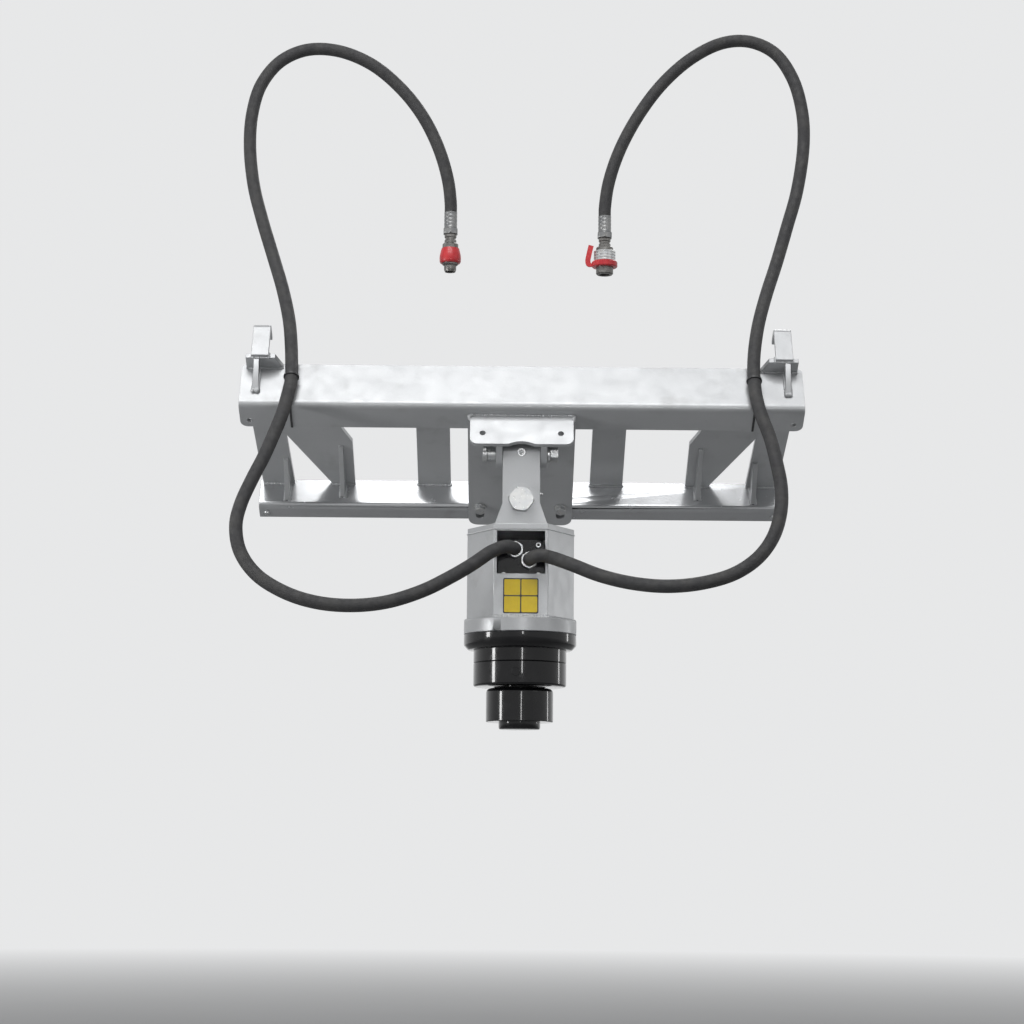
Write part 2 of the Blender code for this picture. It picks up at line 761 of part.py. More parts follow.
def angle_bar(length, front_y, depth, top_z, front, wall, bend_radius):
    """A plate bent to a right angle: a top flange and a front flange."""
    corners = [
        (front_y + depth, top_z, 0),
        (front_y + depth, top_z - wall, 0),
        (front_y + wall, top_z - wall, bend_radius - wall),
        (front_y + wall, top_z - front, 0),
        (front_y, top_z - front, 0),
        (front_y, top_z, bend_radius),
    ]
    return extruded(rounded(corners), -length / 2, length / 2, "YZ")


def build_beam(frame):
    half = BEAM_LENGTH / 2
    low = BEAM_TOP_Z - BEAM_FRONT
    above = BEAM_TOP_Z + BEAM_WALL
    ahead = BEAM_FRONT_Y - BEAM_WALL
    mesh = angle_bar(BEAM_LENGTH, BEAM_FRONT_Y, BEAM_DEPTH, BEAM_TOP_Z, BEAM_FRONT, BEAM_WALL, BEAM_BEND)
    beam = painted("top_beam", mesh, frame, smooth=True)
    front_corners = [
        (-half, low, BEAM_FRONT_CORNER),
        (half, low, BEAM_FRONT_CORNER),
        (half, above, 0),
        (-half, above, 0),
    ]
    rear_corners = [
        (-half, ahead, 0),
        (half, ahead, 0),
        (half, BEAM_REAR_Y, BEAM_REAR_CORNER),
        (-half, BEAM_REAR_Y, BEAM_REAR_CORNER),
    ]
    front_shape = extruded(rounded(front_corners), ahead, BEAM_REAR_Y + BEAM_WALL, "XZ")
    top_shape = extruded(rounded(rear_corners), low - BEAM_WALL, above, "XY")
    cut(beam, front_shape, top_shape, operation="INTERSECT")
    hole = rod(BEAM_HOLE_RADIUS, ahead, BEAM_FRONT_Y + 2 * BEAM_WALL, "Y", 16)
    cut(beam, both_sides(moved(hole, half - BEAM_HOLE_INSET, 0, BEAM_TOP_Z - BEAM_HOLE_DROP)))

    mesh = angle_bar(BAR_LENGTH, BEAM_FRONT_Y, BAR_DEPTH, BAR_TOP_Z, BAR_FRONT, BAR_WALL, BAR_BEND)
    bar = painted("bottom_bar", mesh, frame, smooth=True)
    half = TAB_WIDTH / 2
    near = SLOT_SPREAD - half
    far = SLOT_SPREAD + half
    low = BAR_TOP_Z - BAR_WALL / 2
    high = BAR_TOP_Z + TAB_HEIGHT
    tab_back = BEAM_FRONT_Y + TAB_WALL
    tabs = both_sides(box(near, far, BEAM_FRONT_Y, tab_back, low, high))
    cut(bar, tabs, operation="UNION")
    bore = BRACKET_BOLT_RADIUS + GAP
    hole = rod(bore, BEAM_FRONT_Y - TAB_WALL, tab_back + TAB_WALL, "Y", 16)
    cut(bar, both_sides(moved(hole, SLOT_SPREAD, 0, BRACKET_BOLT_Z)))


def build_uprights(frame):
    """Plates between the beam's underside and the bar's top, flush with the bar's rear edge."""
    floor = BAR_TOP_Z + GAP
    ceiling = BEAM_UNDER_Z - GAP
    outline = [(SIDE_INNER, floor)]
    outline += [(SIDE_INNER + a, BAR_TOP_Z + b) for a, b in SIDE_CHAMFER]
    outline += [(SIDE_INNER + SIDE_CHAMFER[-1][0], ceiling)]
    outline += [(BEAM_LENGTH / 2 - SIDE_TOP_INSET, ceiling)]
    outline += [(BAR_LENGTH / 2 - SIDE_FOOT_INSET, floor), (SIDE_LEG_FOOT, floor)]
    outline += [(SIDE_NOTCH_PEAK[0], BAR_TOP_Z + SIDE_NOTCH_PEAK[1])]
    outline += [(SIDE_INNER + SIDE_INNER_STRIP, floor)]
    plate = extruded(outline, UPRIGHT_FRONT_Y, BAR_REAR_Y, "XZ")
    back = UPRIGHT_FRONT_Y + WELD_DEPTH
    ribs = []
    for place, height, reach in (
        (INNER_RIB_PLACE, INNER_RIB_HEIGHT, INNER_RIB_REACH),
        (OUTER_RIB_PLACE, OUTER_RIB_HEIGHT, OUTER_RIB_REACH),
    ):
        toe = UPRIGHT_FRONT_Y - reach
        outline = [(back, floor), (toe, floor), (toe, floor + RIB_EDGE)]
        outline += [(UPRIGHT_FRONT_Y - RIB_EDGE, floor + height), (back, floor + height)]
        ribs.append(extruded(outline, place - BRACE_WALL / 2, place + BRACE_WALL / 2, "YZ"))
    pair("side_plate", plate, frame, painted, joined=ribs)
    near = POST_CENTRE - POST_WIDTH / 2
    far = POST_CENTRE + POST_WIDTH / 2
    pair("post", box(near, far, UPRIGHT_FRONT_Y, BAR_REAR_Y, floor, ceiling), frame, painted)


def build_hooks(frame):
    """A flared plate on the beam's rear edge with a rib before it, and a strap bent over the tube."""
    plate_front = BEAM_REAR_Y - HOOK_PLATE_WALL
    low = BEAM_TOP_Z + GAP
    high = STRAP_UNDER_Z - GAP
    outline = [
        (HOOK_CENTRE - HOOK_PLATE_INNER - HOOK_PLATE_FLARE, low),
        (HOOK_CENTRE + HOOK_PLATE_OUTER, low),
        (HOOK_CENTRE + HOOK_PLATE_OUTER, high),
        (HOOK_CENTRE - HOOK_PLATE_INNER, high),
    ]
    plate = extruded(outline, plate_front, BEAM_REAR_Y, "XZ")
    back = plate_front + WELD_DEPTH
    toe = plate_front - HOOK_RIB_LENGTH
    outline = [(back, low), (toe, low), (toe, low + RIB_EDGE)]
    outline += [(plate_front - RIB_EDGE, high), (back, high)]
    near = HOOK_CENTRE + HOOK_RIB_OFFSET - HOOK_RIB_WALL / 2
    rib = extruded(outline, near, near + HOOK_RIB_WALL, "YZ")
    pair("hook_plate", plate, frame, painted, joined=[rib])

    top = STRAP_UNDER_Z + HOOK_STRAP_WALL
    lip = BEAM_REAR_Y + HOOK_THROAT
    corners = [
        (plate_front, STRAP_UNDER_Z, 0),
        (lip, STRAP_UNDER_Z, HOOK_STRAP_BEND - HOOK_STRAP_WALL),
        (lip, top - HOOK_LIP_HEIGHT, 0),
        (lip + HOOK_STRAP_WALL, top - HOOK_LIP_HEIGHT, 0),
        (lip + HOOK_STRAP_WALL, top, HOOK_STRAP_BEND),
        (plate_front, top, 0),
    ]
    near = HOOK_CENTRE - HOOK_STRAP_WIDTH / 2
    strap = extruded(rounded(corners), near, near + HOOK_STRAP_WIDTH, "YZ")
    pair("hook_strap", strap, frame, painted, smooth=True)


def build_bracket(frame):
    half = BACK_PLATE_WIDTH / 2
    low = BEAM_TOP_Z - BACK_PLATE_DROP
    high = COVER_UNDER_Z - GAP
    corners = [
        (-half, low, BACK_PLATE_CORNER),
        (half, low, BACK_PLATE_CORNER),
        (half, high, 0),
        (-half, high, 0),
    ]
    plate_mesh = extruded(rounded(corners), PLATE_FRONT_Y, PLATE_REAR_Y, "XZ")
    plate = painted("back_plate", plate_mesh, frame)
    side = SLOT_WIDTH / 2
    straight = SLOT_LENGTH / 2 - side
    slot = arc((0, straight), side, 0, pi, 8) + arc((0, -straight), side, pi, 2 * pi, 8)
    ahead = PLATE_FRONT_Y - BACK_PLATE_WALL
    slot_cut = extruded(slot, ahead, PLATE_REAR_Y + BACK_PLATE_WALL, "XZ")
    cut(plate, both_sides(moved(slot_cut, SLOT_SPREAD, 0, BEAM_TOP_Z - SLOT_DROP)))

    half = COVER_WIDTH / 2
    front = BEAM_FRONT_Y - COVER_REACH
    arch_radius = (COVER_ARCH_WIDTH**2 / 4 + COVER_ARCH_DEPTH**2) / (2 * COVER_ARCH_DEPTH)
    arch_angle = atan2(COVER_ARCH_WIDTH / 2, arch_radius - COVER_ARCH_DEPTH)
    arch_centre = (0, front + COVER_ARCH_DEPTH - arch_radius)
    corners = [
        (half, front, COVER_CORNER),
        (half, PLATE_REAR_Y, 0),
        (-half, PLATE_REAR_Y, 0),
        (-half, front, COVER_CORNER),
    ]
    outline = rounded(corners)
    outline += arc(arch_centre, arch_radius, pi / 2 + arch_angle, pi / 2 - arch_angle, 8)
    cover = painted("cover_plate", extruded(outline, COVER_UNDER_Z, COVER_TOP_Z, "XY"), frame)
    hole = rod(COVER_HOLE_RADIUS, COVER_UNDER_Z - COVER_WALL, COVER_TOP_Z + COVER_WALL, "Z", 16)
    cut(cover, both_sides(moved(hole, COVER_HOLE_SPREAD, BEAM_FRONT_Y - COVER_HOLE_REACH)))

    back = PLATE_FRONT_Y - GAP
    ceiling = COVER_UNDER_Z - GAP
    to_foot = Vector((back - PIN_Y, -LUG_FOOT_DROP))
    tangent = atan2(to_foot.y, to_foot.x) - acos(LUG_RADIUS / to_foot.length)
    outline = arc((PIN_Y, PIN_Z), LUG_RADIUS, radians(-200), tangent, 12)
    outline += [(back, PIN_Z - LUG_FOOT_DROP), (back, ceiling)]
    outline += [(PIN_Y - LUG_NOSE_REACH, ceiling)]
    lug = extruded(outline, LUG_INNER_X, LUG_OUTER_X, "YZ")
    bore = rod(PIN_DIAMETER / 2 + GAP, -2 * LUG_OUTER_X, 2 * LUG_OUTER_X, "X", 24)
    pair("pin_lug", lug, frame, painted, smooth=True, cuts=[moved(bore, 0, PIN_Y, PIN_Z)])


def build_frame_bolts(frame):
    """The bolt sets, each with its washer and nut, that hold the back plate to the bar's tabs."""
    washer_back = PLATE_FRONT_Y - GAP
    head_back = washer_back - BRACKET_WASHER_WALL
    nut_front = BEAM_FRONT_Y + TAB_WALL + GAP
    nut_back = nut_front + BRACKET_NUT_HEIGHT
    radius = BRACKET_BOLT_RADIUS
    washer = BRACKET_WASHER_RADIUS
    corner, flat = hex_radii(BRACKET_BOLT_ACROSS)
    steps = [
        (corner, flat, head_back - BRACKET_BOLT_HEAD),
        (corner, flat, head_back),
        (washer, washer, head_back),
        (washer, washer, washer_back),
        (radius, radius, washer_back),
        (radius, radius, nut_front),
        (corner, flat, nut_front),
        (corner, flat, nut_back),
        (radius, radius, nut_back),
        (radius, radius, nut_back + BRACKET_THREAD_END),
    ]
    bolt = moved(stepped(steps), SLOT_SPREAD, 0, BRACKET_BOLT_Z)
    pair("bracket_bolt", bolt, frame, zinc)


def build_pin(frame):
    radius = PIN_DIAMETER / 2
    thread = PIN_THREAD_DIAMETER / 2
    bore = radius + GAP
    nut_end = PIN_NUT_X + PIN_NUT_HEIGHT
    profile = [
        (0, PIN_HEAD_X - PIN_HEAD_HEIGHT),
        (PIN_HEAD_DIAMETER / 2, PIN_HEAD_X - PIN_HEAD_HEIGHT),
        (PIN_HEAD_DIAMETER / 2, PIN_HEAD_X),
        (radius, PIN_HEAD_X),
        (radius, PIN_NUT_X - GAP),
        (thread, PIN_NUT_X - GAP),
        (thread, nut_end),
        (0, nut_end),
    ]
    zinc("swing_pin", moved(turned(profile, 24, "X"), 0, PIN_Y, PIN_Z), frame, smooth=True)
    nut = hex_nut(PIN_NUT_ACROSS, thread + GAP, PIN_NUT_X, nut_end, "X")
    zinc("swing_pin_nut", moved(nut, 0, PIN_Y, PIN_Z), frame)
    left = PIN_HEAD_X + GAP
    right = LUG_OUTER_X + GAP
    spacer = tube(bore, PIN_SPACER_DIAMETER / 2, left, left + PIN_SPACER_LENGTH, "X", 24)
    washer = tube(bore, PIN_WASHER_DIAMETER / 2, right, right + PIN_WASHER_LENGTH, "X", 24)
    zinc("swing_pin_spacer", moved(spacer, 0, PIN_Y, PIN_Z), frame, smooth=True)
    zinc("swing_pin_washer", moved(washer, 0, PIN_Y, PIN_Z), frame, smooth=True)


def build_link(swing):
    """A block with a bore across it for the cross pin and one through it for the sway bolt."""
    half = LINK_WIDTH / 2
    deep = LINK_THICKNESS / 2
    foot = -PIVOT_DROP - LINK_WIDTH
    side = arc((0, 0), deep, 0, pi, 12) + [(-deep, foot), (deep, foot)]
    link = painted("swing_link", extruded(side, -LINK_WIDTH, LINK_WIDTH, "YZ"), swing, smooth=True)
    face = arc((0, -PIVOT_DROP), half, pi, 2 * pi, 16) + [(half, 2 * deep), (-half, 2 * deep)]
    cut(link, extruded(face, -2 * deep, 2 * deep, "XZ"), operation="INTERSECT")
    pin_bore = PIN_DIAMETER / 2 + GAP
    sway_bore = SWAY_BOLT_DIAMETER / 2 + GAP
    pin_seat = rod(pin_bore + BUSH_WALL + GAP, -LINK_WIDTH, LINK_WIDTH, "X", 24)
    sway_seat = rod(sway_bore + BUSH_WALL + GAP, -LINK_WIDTH, LINK_WIDTH, "Y", 24)
    cut(link, pin_seat, moved(sway_seat, 0, 0, -PIVOT_DROP))
    pin_bush = tube(pin_bore, pin_bore + BUSH_WALL, -half, half, "X", 24)
    sway_bush = tube(sway_bore, sway_bore + BUSH_WALL, -deep, deep, "Y", 24)
    bronze = (0.55, 0.38, 0.16)
    add("pin_bush", pin_bush, swing, bronze, 0.35, 1.0, smooth=True)
    add("sway_bush", moved(sway_bush, 0, 0, -PIVOT_DROP), swing, bronze, 0.35, 1.0, smooth=True)


def build_ears(sway):
    half = EAR_FOOT_WIDTH / 2
    foot = TOP_PLATE_Z + GAP
    to_foot = Vector((half, foot + PIVOT_DROP))
    tangent = atan2(to_foot.y, to_foot.x) + acos(EAR_TOP_RADIUS / to_foot.length)
    outline = arc((0, -PIVOT_DROP), EAR_TOP_RADIUS, tangent, pi - tangent, 16)
    outline += [(-half, foot), (half, foot)]
    bore = rod(SWAY_BOLT_DIAMETER / 2 + GAP, -2 * EAR_OUTER_Y, 2 * EAR_OUTER_Y, "Y", 24)
    moved(bore, 0, 0, -PIVOT_DROP)
    for name, low, high in (
        ("front_ear", -EAR_OUTER_Y, -EAR_INNER_Y),
        ("rear_ear", EAR_INNER_Y, EAR_OUTER_Y),
    ):
        ear_mesh = extruded(outline, low, high, "XZ")
        cut(painted(name, ear_mesh, sway, smooth=True, drop=PIVOT_DROP), bore.copy())
    head_back = -EAR_OUTER_Y - GAP
    nut_front = EAR_OUTER_Y + GAP
    nut_back = nut_front + SWAY_NUT_HEIGHT
    radius = SWAY_BOLT_DIAMETER / 2
    corner, flat = hex_radii(SWAY_BOLT_ACROSS)
    steps = [
        (corner, flat, head_back - SWAY_HEAD_HEIGHT),
        (corner, flat, head_back),
        (radius, radius, head_back),
        (radius, radius, nut_back + SWAY_THREAD_END),
    ]
    black("sway_bolt", moved(stepped(steps), 0, 0, -PIVOT_DROP), sway, drop=PIVOT_DROP)
    nut = hex_nut(SWAY_BOLT_ACROSS, radius + GAP, nut_front, nut_back)
    black("sway_nut", moved(nut, 0, 0, -PIVOT_DROP), sway, drop=PIVOT_DROP)


def build_housing(sway):
    across = HOUSING_ACROSS_CORNERS * cos(pi / 6)
    inner = across - 2 * HOUSING_WALL
    plate = extruded(hexagon(across), TOP_PLATE_Z - TOP_PLATE_WALL, TOP_PLATE_Z, "XY")
    painted("housing_top_plate", plate, sway, drop=PIVOT_DROP)
    shell = extruded(hexagon(across), HOUSING_LOW_Z, HOUSING_TOP_Z, "XY")
    housing = painted("drive_housing", shell, sway, drop=PIVOT_DROP)
    below = HOUSING_LOW_Z - HOUSING_WALL
    above = HOUSING_TOP_Z + HOUSING_WALL
    half = WINDOW_WIDTH / 2
    window = box(-half, half, 2 * HOUSING_FRONT_Y, 0, WINDOW_LOW_Z, WINDOW_TOP_Z)
    cut(housing, extruded(hexagon(inner), below, above, "XY"), window)


def build_ring(sway):
    outer = RING_DIAMETER / 2
    mesh = tube(RING_BORE / 2, outer, RING_LOW_Z, RING_TOP_Z, "Z", 48)
    ring = painted("ring_flange", mesh, sway, smooth=True, drop=PIVOT_DROP)
    half = NOTCH_WIDTH / 2
    notch = box(outer - NOTCH_DEPTH, outer + NOTCH_DEPTH, -half, half, -NOTCH_HEIGHT, NOTCH_HEIGHT)
    notch.transform(Matrix.Rotation(NOTCH_ANGLE, 4, "Z"))
    cut(ring, moved(notch, 0, 0, RING_LOW_Z))


def build_motor(sway):
    body = MOTOR_DIAMETER / 2
    flange = MOTOR_FLANGE_DIAMETER / 2
    spigot = CASE_TOP_BORE / 2 - GAP
    shaft = MOTOR_SHAFT_DIAMETER / 2 + 2 * GAP
    profile = [
        (0, MOTOR_TOP_Z),
        (body, MOTOR_TOP_Z),
        (body, MOTOR_FLANGE_Z),
        (flange, MOTOR_FLANGE_Z),
        (flange, MOTOR_LOW_Z),
        (spigot, MOTOR_LOW_Z),
        (spigot, MOTOR_LOW_Z - MOTOR_SPIGOT),
        (shaft, MOTOR_LOW_Z - MOTOR_SPIGOT),
        (shaft, MOTOR_SHAFT_TOP_Z + GAP),
        (0, MOTOR_SHAFT_TOP_Z + GAP),
    ]
    black("motor_body", turned(profile, 36), sway, smooth=True, drop=PIVOT_DROP)

    half = PORT_BLOCK_WIDTH / 2
    corners = [
        (-half, PORT_BLOCK_LOW_Z, PORT_BLOCK_LOW_CORNER),
        (half, PORT_BLOCK_LOW_Z, PORT_BLOCK_LOW_CORNER),
        (half, PORT_BLOCK_TOP_Z, PORT_BLOCK_TOP_CORNER),
        (-half, PORT_BLOCK_TOP_Z, PORT_BLOCK_TOP_CORNER),
    ]
    block_mesh = extruded(rounded(corners), -PORT_BLOCK_FRONT, -PORT_BLOCK_BACK, "XZ")
    block = black("motor_cover", block_mesh, sway, smooth=True, drop=PIVOT_DROP)
    recess = rod(body + GAP, PORT_BLOCK_LOW_Z - body, PORT_BLOCK_TOP_Z + body, "Z", 48)
    cut(block, recess)


def build_ports(sway):
    face = -PORT_BLOCK_FRONT - GAP
    for side, port, end, heading in (
        ("left", LEFT_PORT, LEFT_ELBOW_END, LEFT_ELBOW_HEADING),
        ("right", RIGHT_PORT, RIGHT_ELBOW_END, RIGHT_ELBOW_HEADING),
    ):
        nut = hex_nut(PORT_NUT_ACROSS, ELBOW_DIAMETER / 2 + GAP, face - PORT_NUT_HEIGHT, face)
        moved(nut, port[0], 0, port[1])
        zinc(f"{side}_port_nut", nut, sway, drop=PIVOT_DROP)
        start = Vector((port[0], face, port[1]))
        leave = Vector((port[0], face - PORT_NUT_HEIGHT, port[1]))
        toward = Vector(heading).normalized()
        finish = Vector(end)
        path = [start, *bend(leave, Vector((0, -1, 0)), finish - toward * 0.004, toward, 8), finish]
        colour = (0.03, 0.03, 0.032)
        pipe(f"{side}_port_elbow", path, ELBOW_DIAMETER, sway, colour, 0.4, drop=PIVOT_DROP)


def build_gearbox(sway):
    flange = RING_DIAMETER / 2
    body = CASE_DIAMETER / 2
    cavity = RING_GEAR_DIAMETER / 2 + GAP
    ceiling = CASE_TOP_Z - CASE_TOP_WALL
    flange_low = CASE_TOP_Z - CASE_FLANGE_STRAIGHT
    profile = [
        (CASE_TOP_BORE / 2, CASE_TOP_Z),
        (flange, CASE_TOP_Z),
        (flange, flange_low),
        (flange - CASE_FLANGE_CHAMFER, flange_low - CASE_FLANGE_CHAMFER),
        (body, flange_low - CASE_FLANGE_CHAMFER),
        (body, CASE_SEAM_Z),
        (cavity, CASE_SEAM_Z),
        (cavity, ceiling),
        (CASE_TOP_BORE / 2, ceiling),
    ]
    black("ring_gear_case", turned(profile, 48), sway, smooth=True, drop=PIVOT_DROP)

    pitch = GEAR_MODULE * RING_TEETH / 2
    tip = pitch - GEAR_ADDENDUM * GEAR_MODULE
    root = pitch + GEAR_DEDENDUM * GEAR_MODULE
    space = pi * GEAR_MODULE / 2 + 2 * GEAR_THINNING
    high = CASE_SEAM_Z + RING_GEAR_HEIGHT
    ring = steel("ring_gear", rod(cavity - GAP, CASE_SEAM_Z, high, "Z", 48), sway, drop=PIVOT_DROP)
    spaces = gear_outline(RING_TEETH, tip, root, space, pi / 2 + pi / RING_TEETH)
    cut(ring, extruded(spaces, CASE_SEAM_Z - GEAR_WIDTH, high + GEAR_WIDTH, "XY"))

    bearing = BEARING_DIAMETER / 2
    seal = SEAL_DIAMETER / 2
    shoulder = OUTPUT_LOW_Z + OUTPUT_CASE_LIP
    corner = (body - OUTPUT_CASE_ROUND, OUTPUT_LOW_Z + OUTPUT_CASE_ROUND)
    profile = [
        (bearing + GAP, OUTPUT_TOP_Z),
        (body, OUTPUT_TOP_Z),
        *arc(corner, OUTPUT_CASE_ROUND, 0, -pi / 2, 2),
        (seal + GAP, OUTPUT_LOW_Z),
        (seal + GAP, shoulder),
        (bearing + GAP, shoulder),
    ]
    black("output_case", turned(profile, 48), sway, smooth=True, drop=PIVOT_DROP)
    shaft = SHAFT_DIAMETER / 2 + GAP
    low = shoulder + GAP
    bearing_mesh = tube(shaft, bearing, low, low + BEARING_WIDTH, "Z", 36)
    steel("output_bearing", bearing_mesh, sway, smooth=True, drop=PIVOT_DROP)
    low = OUTPUT_LOW_Z + GAP
    seal_mesh = tube(shaft, seal, low, low + SEAL_WIDTH, "Z", 36)
    add("shaft_seal", seal_mesh, sway, (0.03, 0.03, 0.03), 0.7, 0.0, smooth=True, drop=PIVOT_DROP)


def build_gears(sway):
    sun = guide("sun_axis", (0, 0, PIVOT_DROP), sway)
    sun_gear = steel("sun_gear", outer_gear(SUN_TEETH, pi / 2), sun)
    shaft_low = GEAR_LOW_Z + GEAR_WIDTH / 2
    motor_shaft = rod(MOTOR_SHAFT_DIAMETER / 2, shaft_low, MOTOR_SHAFT_TOP_Z, "Z", 24)
    cut(sun_gear, motor_shaft, operation="UNION")

    output = guide("output_axis", (0, 0, PIVOT_DROP), sway)
    bore = PLANET_PIN_DIAMETER / 2 + 2 * GAP
    for index in range(PLANET_COUNT):
        angle = pi / 2 + 2 * pi * index / PLANET_COUNT
        place = (PLANET_CIRCLE * cos(angle), PLANET_CIRCLE * sin(angle), 0)
        planet_axis = guide(f"planet_axis_{index + 1}", place, output)
        teeth = outer_gear(PLANET_TEETH, angle + pi / PLANET_TEETH)
        planet = steel(f"planet_gear_{index + 1}", teeth, planet_axis)
        cut(planet, rod(bore, GEAR_LOW_Z - GEAR_WIDTH, GEAR_TOP_Z + GEAR_WIDTH, "Z", 24))

    spigot = SPIGOT_DIAMETER / 2
    carrier_mesh = tube(spigot + GAP, CARRIER_DIAMETER / 2, CARRIER_LOW_Z, CARRIER_TOP_Z, "Z", 36)
    carrier = steel("planet_carrier", carrier_mesh, output, smooth=True)
    pin = rod(PLANET_PIN_DIAMETER / 2, CARRIER_TOP_Z - CARRIER_WALL / 2, GEAR_TOP_Z, "Z", 24)
    pins = around(pin, 2 * PLANET_CIRCLE, PLANET_COUNT, 0, pi / 2)
    cut(carrier, join(*pins), operation="UNION")

    shaft = SHAFT_DIAMETER / 2
    hub = HUB_DIAMETER / 2
    stub = STUB_DIAMETER / 2
    stub_low = HUB_LOW_Z - STUB_HEIGHT
    profile = [
        (0, CARRIER_TOP_Z),
        (spigot, CARRIER_TOP_Z),
        (spigot, CARRIER_LOW_Z - GAP),
        (shaft, CARRIER_LOW_Z - GAP),
        (shaft, HUB_TOP_Z),
        *arc((hub - HUB_ROUND, HUB_TOP_Z - HUB_ROUND), HUB_ROUND, pi / 2, 0, 3),
        (hub, HUB_LOW_Z),
        (stub, HUB_LOW_Z),
        *arc((stub - STUB_ROUND, stub_low + STUB_ROUND), STUB_ROUND, 0, -pi / 2, 2),
        (0, stub_low),
    ]
    black("output_shaft", turned(profile, 48), output, smooth=True)


def build_hoses(hang, frame):
    rear = TILT.to_3x3() @ Vector((0, 1, 0))
    down = (0, 0, -1)
    ties = []
    for x in (LEFT_TIE, RIGHT_TIE):
        place = Vector((x, BEAM_FRONT_Y + TIE_REAR, BEAM_TOP_Z + TIE_RISE))
        ties.append(TILT @ place - PIN_POINT)
    left, right = ties
    hose("left_lower_hose", LEFT_ELBOW_END, LEFT_ELBOW_HEADING, LEFT_LOWER_ROUTE, left, rear, hang)
    hose("right_lower_hose", RIGHT_ELBOW_END, RIGHT_ELBOW_HEADING, RIGHT_LOWER_ROUTE, right, rear, hang)
    hose("left_upper_hose", left, rear, LEFT_UPPER_ROUTE, LEFT_HOSE_END, down, hang)
    hose("right_upper_hose", right, rear, RIGHT_UPPER_ROUTE, RIGHT_HOSE_END, down, hang)

    inner = HOSE_DIAMETER / 2 + GAP
    outer = inner + TIE_WALL
    lift = GAP + TIE_STRAP_WALL
    for name, x in (("left_hose_tie", LEFT_TIE), ("right_hose_tie", RIGHT_TIE)):
        strap = angle_bar(
            TIE_WIDTH,
            BEAM_FRONT_Y - lift,
            TIE_STRAP_REACH + lift,
            BEAM_TOP_Z + lift,
            BEAM_FRONT + lift,
            TIE_STRAP_WALL,
            BEAM_BEND + lift,
        )
        tie = add(name, moved(strap, x), frame, (0.03, 0.03, 0.03), 0.5, 0.0)
        ring = tube(inner, outer, -TIE_WIDTH / 2, TIE_WIDTH / 2, "Y", 20)
        moved(ring, x, BEAM_FRONT_Y + TIE_REAR, BEAM_TOP_Z + TIE_RISE)
        cut(tie, ring, operation="UNION")


def build_couplings(hang):
    """What hangs from the two hose ends, stacked straight down."""
    for name, (x, y, top) in (
        ("left_hose_fitting", LEFT_HOSE_END),
        ("right_hose_fitting", RIGHT_HOSE_END),
    ):
        ferrule = rod(FERRULE_DIAMETER / 2, top - FERRULE_LENGTH, top, "Z", 24)
        fitting = zinc(name, moved(ferrule, x, y), hang, smooth=True)
        low = top - FERRULE_LENGTH - SWIVEL_HEIGHT
        nut = extruded(hexagon(SWIVEL_ACROSS), low, low + SWIVEL_HEIGHT + WELD_DEPTH, "XY")
        cut(fitting, moved(nut, x, y), operation="UNION")

    stack = FERRULE_LENGTH + SWIVEL_HEIGHT + GAP
    neck = COUPLER_NECK_DIAMETER / 2
    for name, end, diameter, length in (
        ("left_coupler", LEFT_HOSE_END, PLUG_BODY_DIAMETER, PLUG_BODY_LENGTH),
        ("right_coupler", RIGHT_HOSE_END, SOCKET_BODY_DIAMETER, SOCKET_BODY_LENGTH),
    ):
        body = diameter / 2
        top = end[2] - stack
        shoulder = top - COUPLER_NECK_LENGTH
        profile = [
            (0, top),
            (neck, top),
            (neck, shoulder),
            (body, shoulder),
            (body, shoulder - length),
            (body * 0.6, shoulder - length),
            (body * 0.6, shoulder - length * 0.6),
            (0, shoulder - length * 0.6),
        ]
        steel(name, moved(turned(profile, 24), end[0], end[1]), hang, smooth=True)

    x, y, top = LEFT_HOSE_END
    inner = PLUG_BODY_DIAMETER / 2 + GAP
    ring_top = top - stack - COUPLER_NECK_LENGTH - DUST_RING_DROP
    ring_low = ring_top - DUST_RING_HEIGHT
    ring = moved(tube(inner, inner + DUST_RING_WALL, ring_low, ring_top, "Z", 24), x, y)
    add("left_dust_ring", ring, hang, (0.62, 0.04, 0.03), 0.45, 0.0, smooth=True)

    x, y, top = RIGHT_HOSE_END
    inner = SOCKET_BODY_DIAMETER / 2 + GAP
    sleeve_top = top - stack - COUPLER_NECK_LENGTH - SLEEVE_DROP
    sleeve_low = sleeve_top - SLEEVE_LENGTH
    slide = guide("sleeve_axis", (x, y, 0), hang)
    sleeve = tube(inner, SLEEVE_DIAMETER / 2, sleeve_low, sleeve_top, "Z", 24)
    zinc("coupler_sleeve", sleeve, slide, smooth=True)
    band_top = sleeve_low - GAP
    band_low = band_top - CAP_BAND_HEIGHT
    band = tube(inner, inner + CAP_BAND_WALL, band_low, band_top, "Z", 24)
    cap_ring = add("right_dust_ring", moved(band, x, y), hang, (0.62, 0.04, 0.03), 0.45, 0.0, smooth=True)
    half = CAP_STRAP_WIDTH / 2
    outer_x = x - inner - CAP_BAND_WALL
    high = band_top + CAP_STRAP_RISE
    strap = box(outer_x - CAP_STRAP_WALL, outer_x + WELD_DEPTH, y - half, y + half, band_low, high)
    cut(cap_ring, strap, operation="UNION")


def main():
    clear_scene()
    frame = guide("frame_axes", (0, 0, 0), tilt=FRAME_TILT)
    hang = guide("pin_middle", PIN_POINT)
    swing = guide("swing_axis", PIN_POINT)
    sway = guide("sway_axis", (0, 0, -PIVOT_DROP), swing)
    build_beam(frame)
    build_uprights(frame)
    build_hooks(frame)
    build_bracket(frame)
    build_frame_bolts(frame)
    build_pin(frame)
    build_link(swing)
    build_ears(sway)
    build_housing(sway)
    build_ring(sway)
    build_motor(sway)
    build_ports(sway)
    build_gearbox(sway)
    build_gears(sway)
    build_hoses(hang, frame)
    build_couplings(hang)


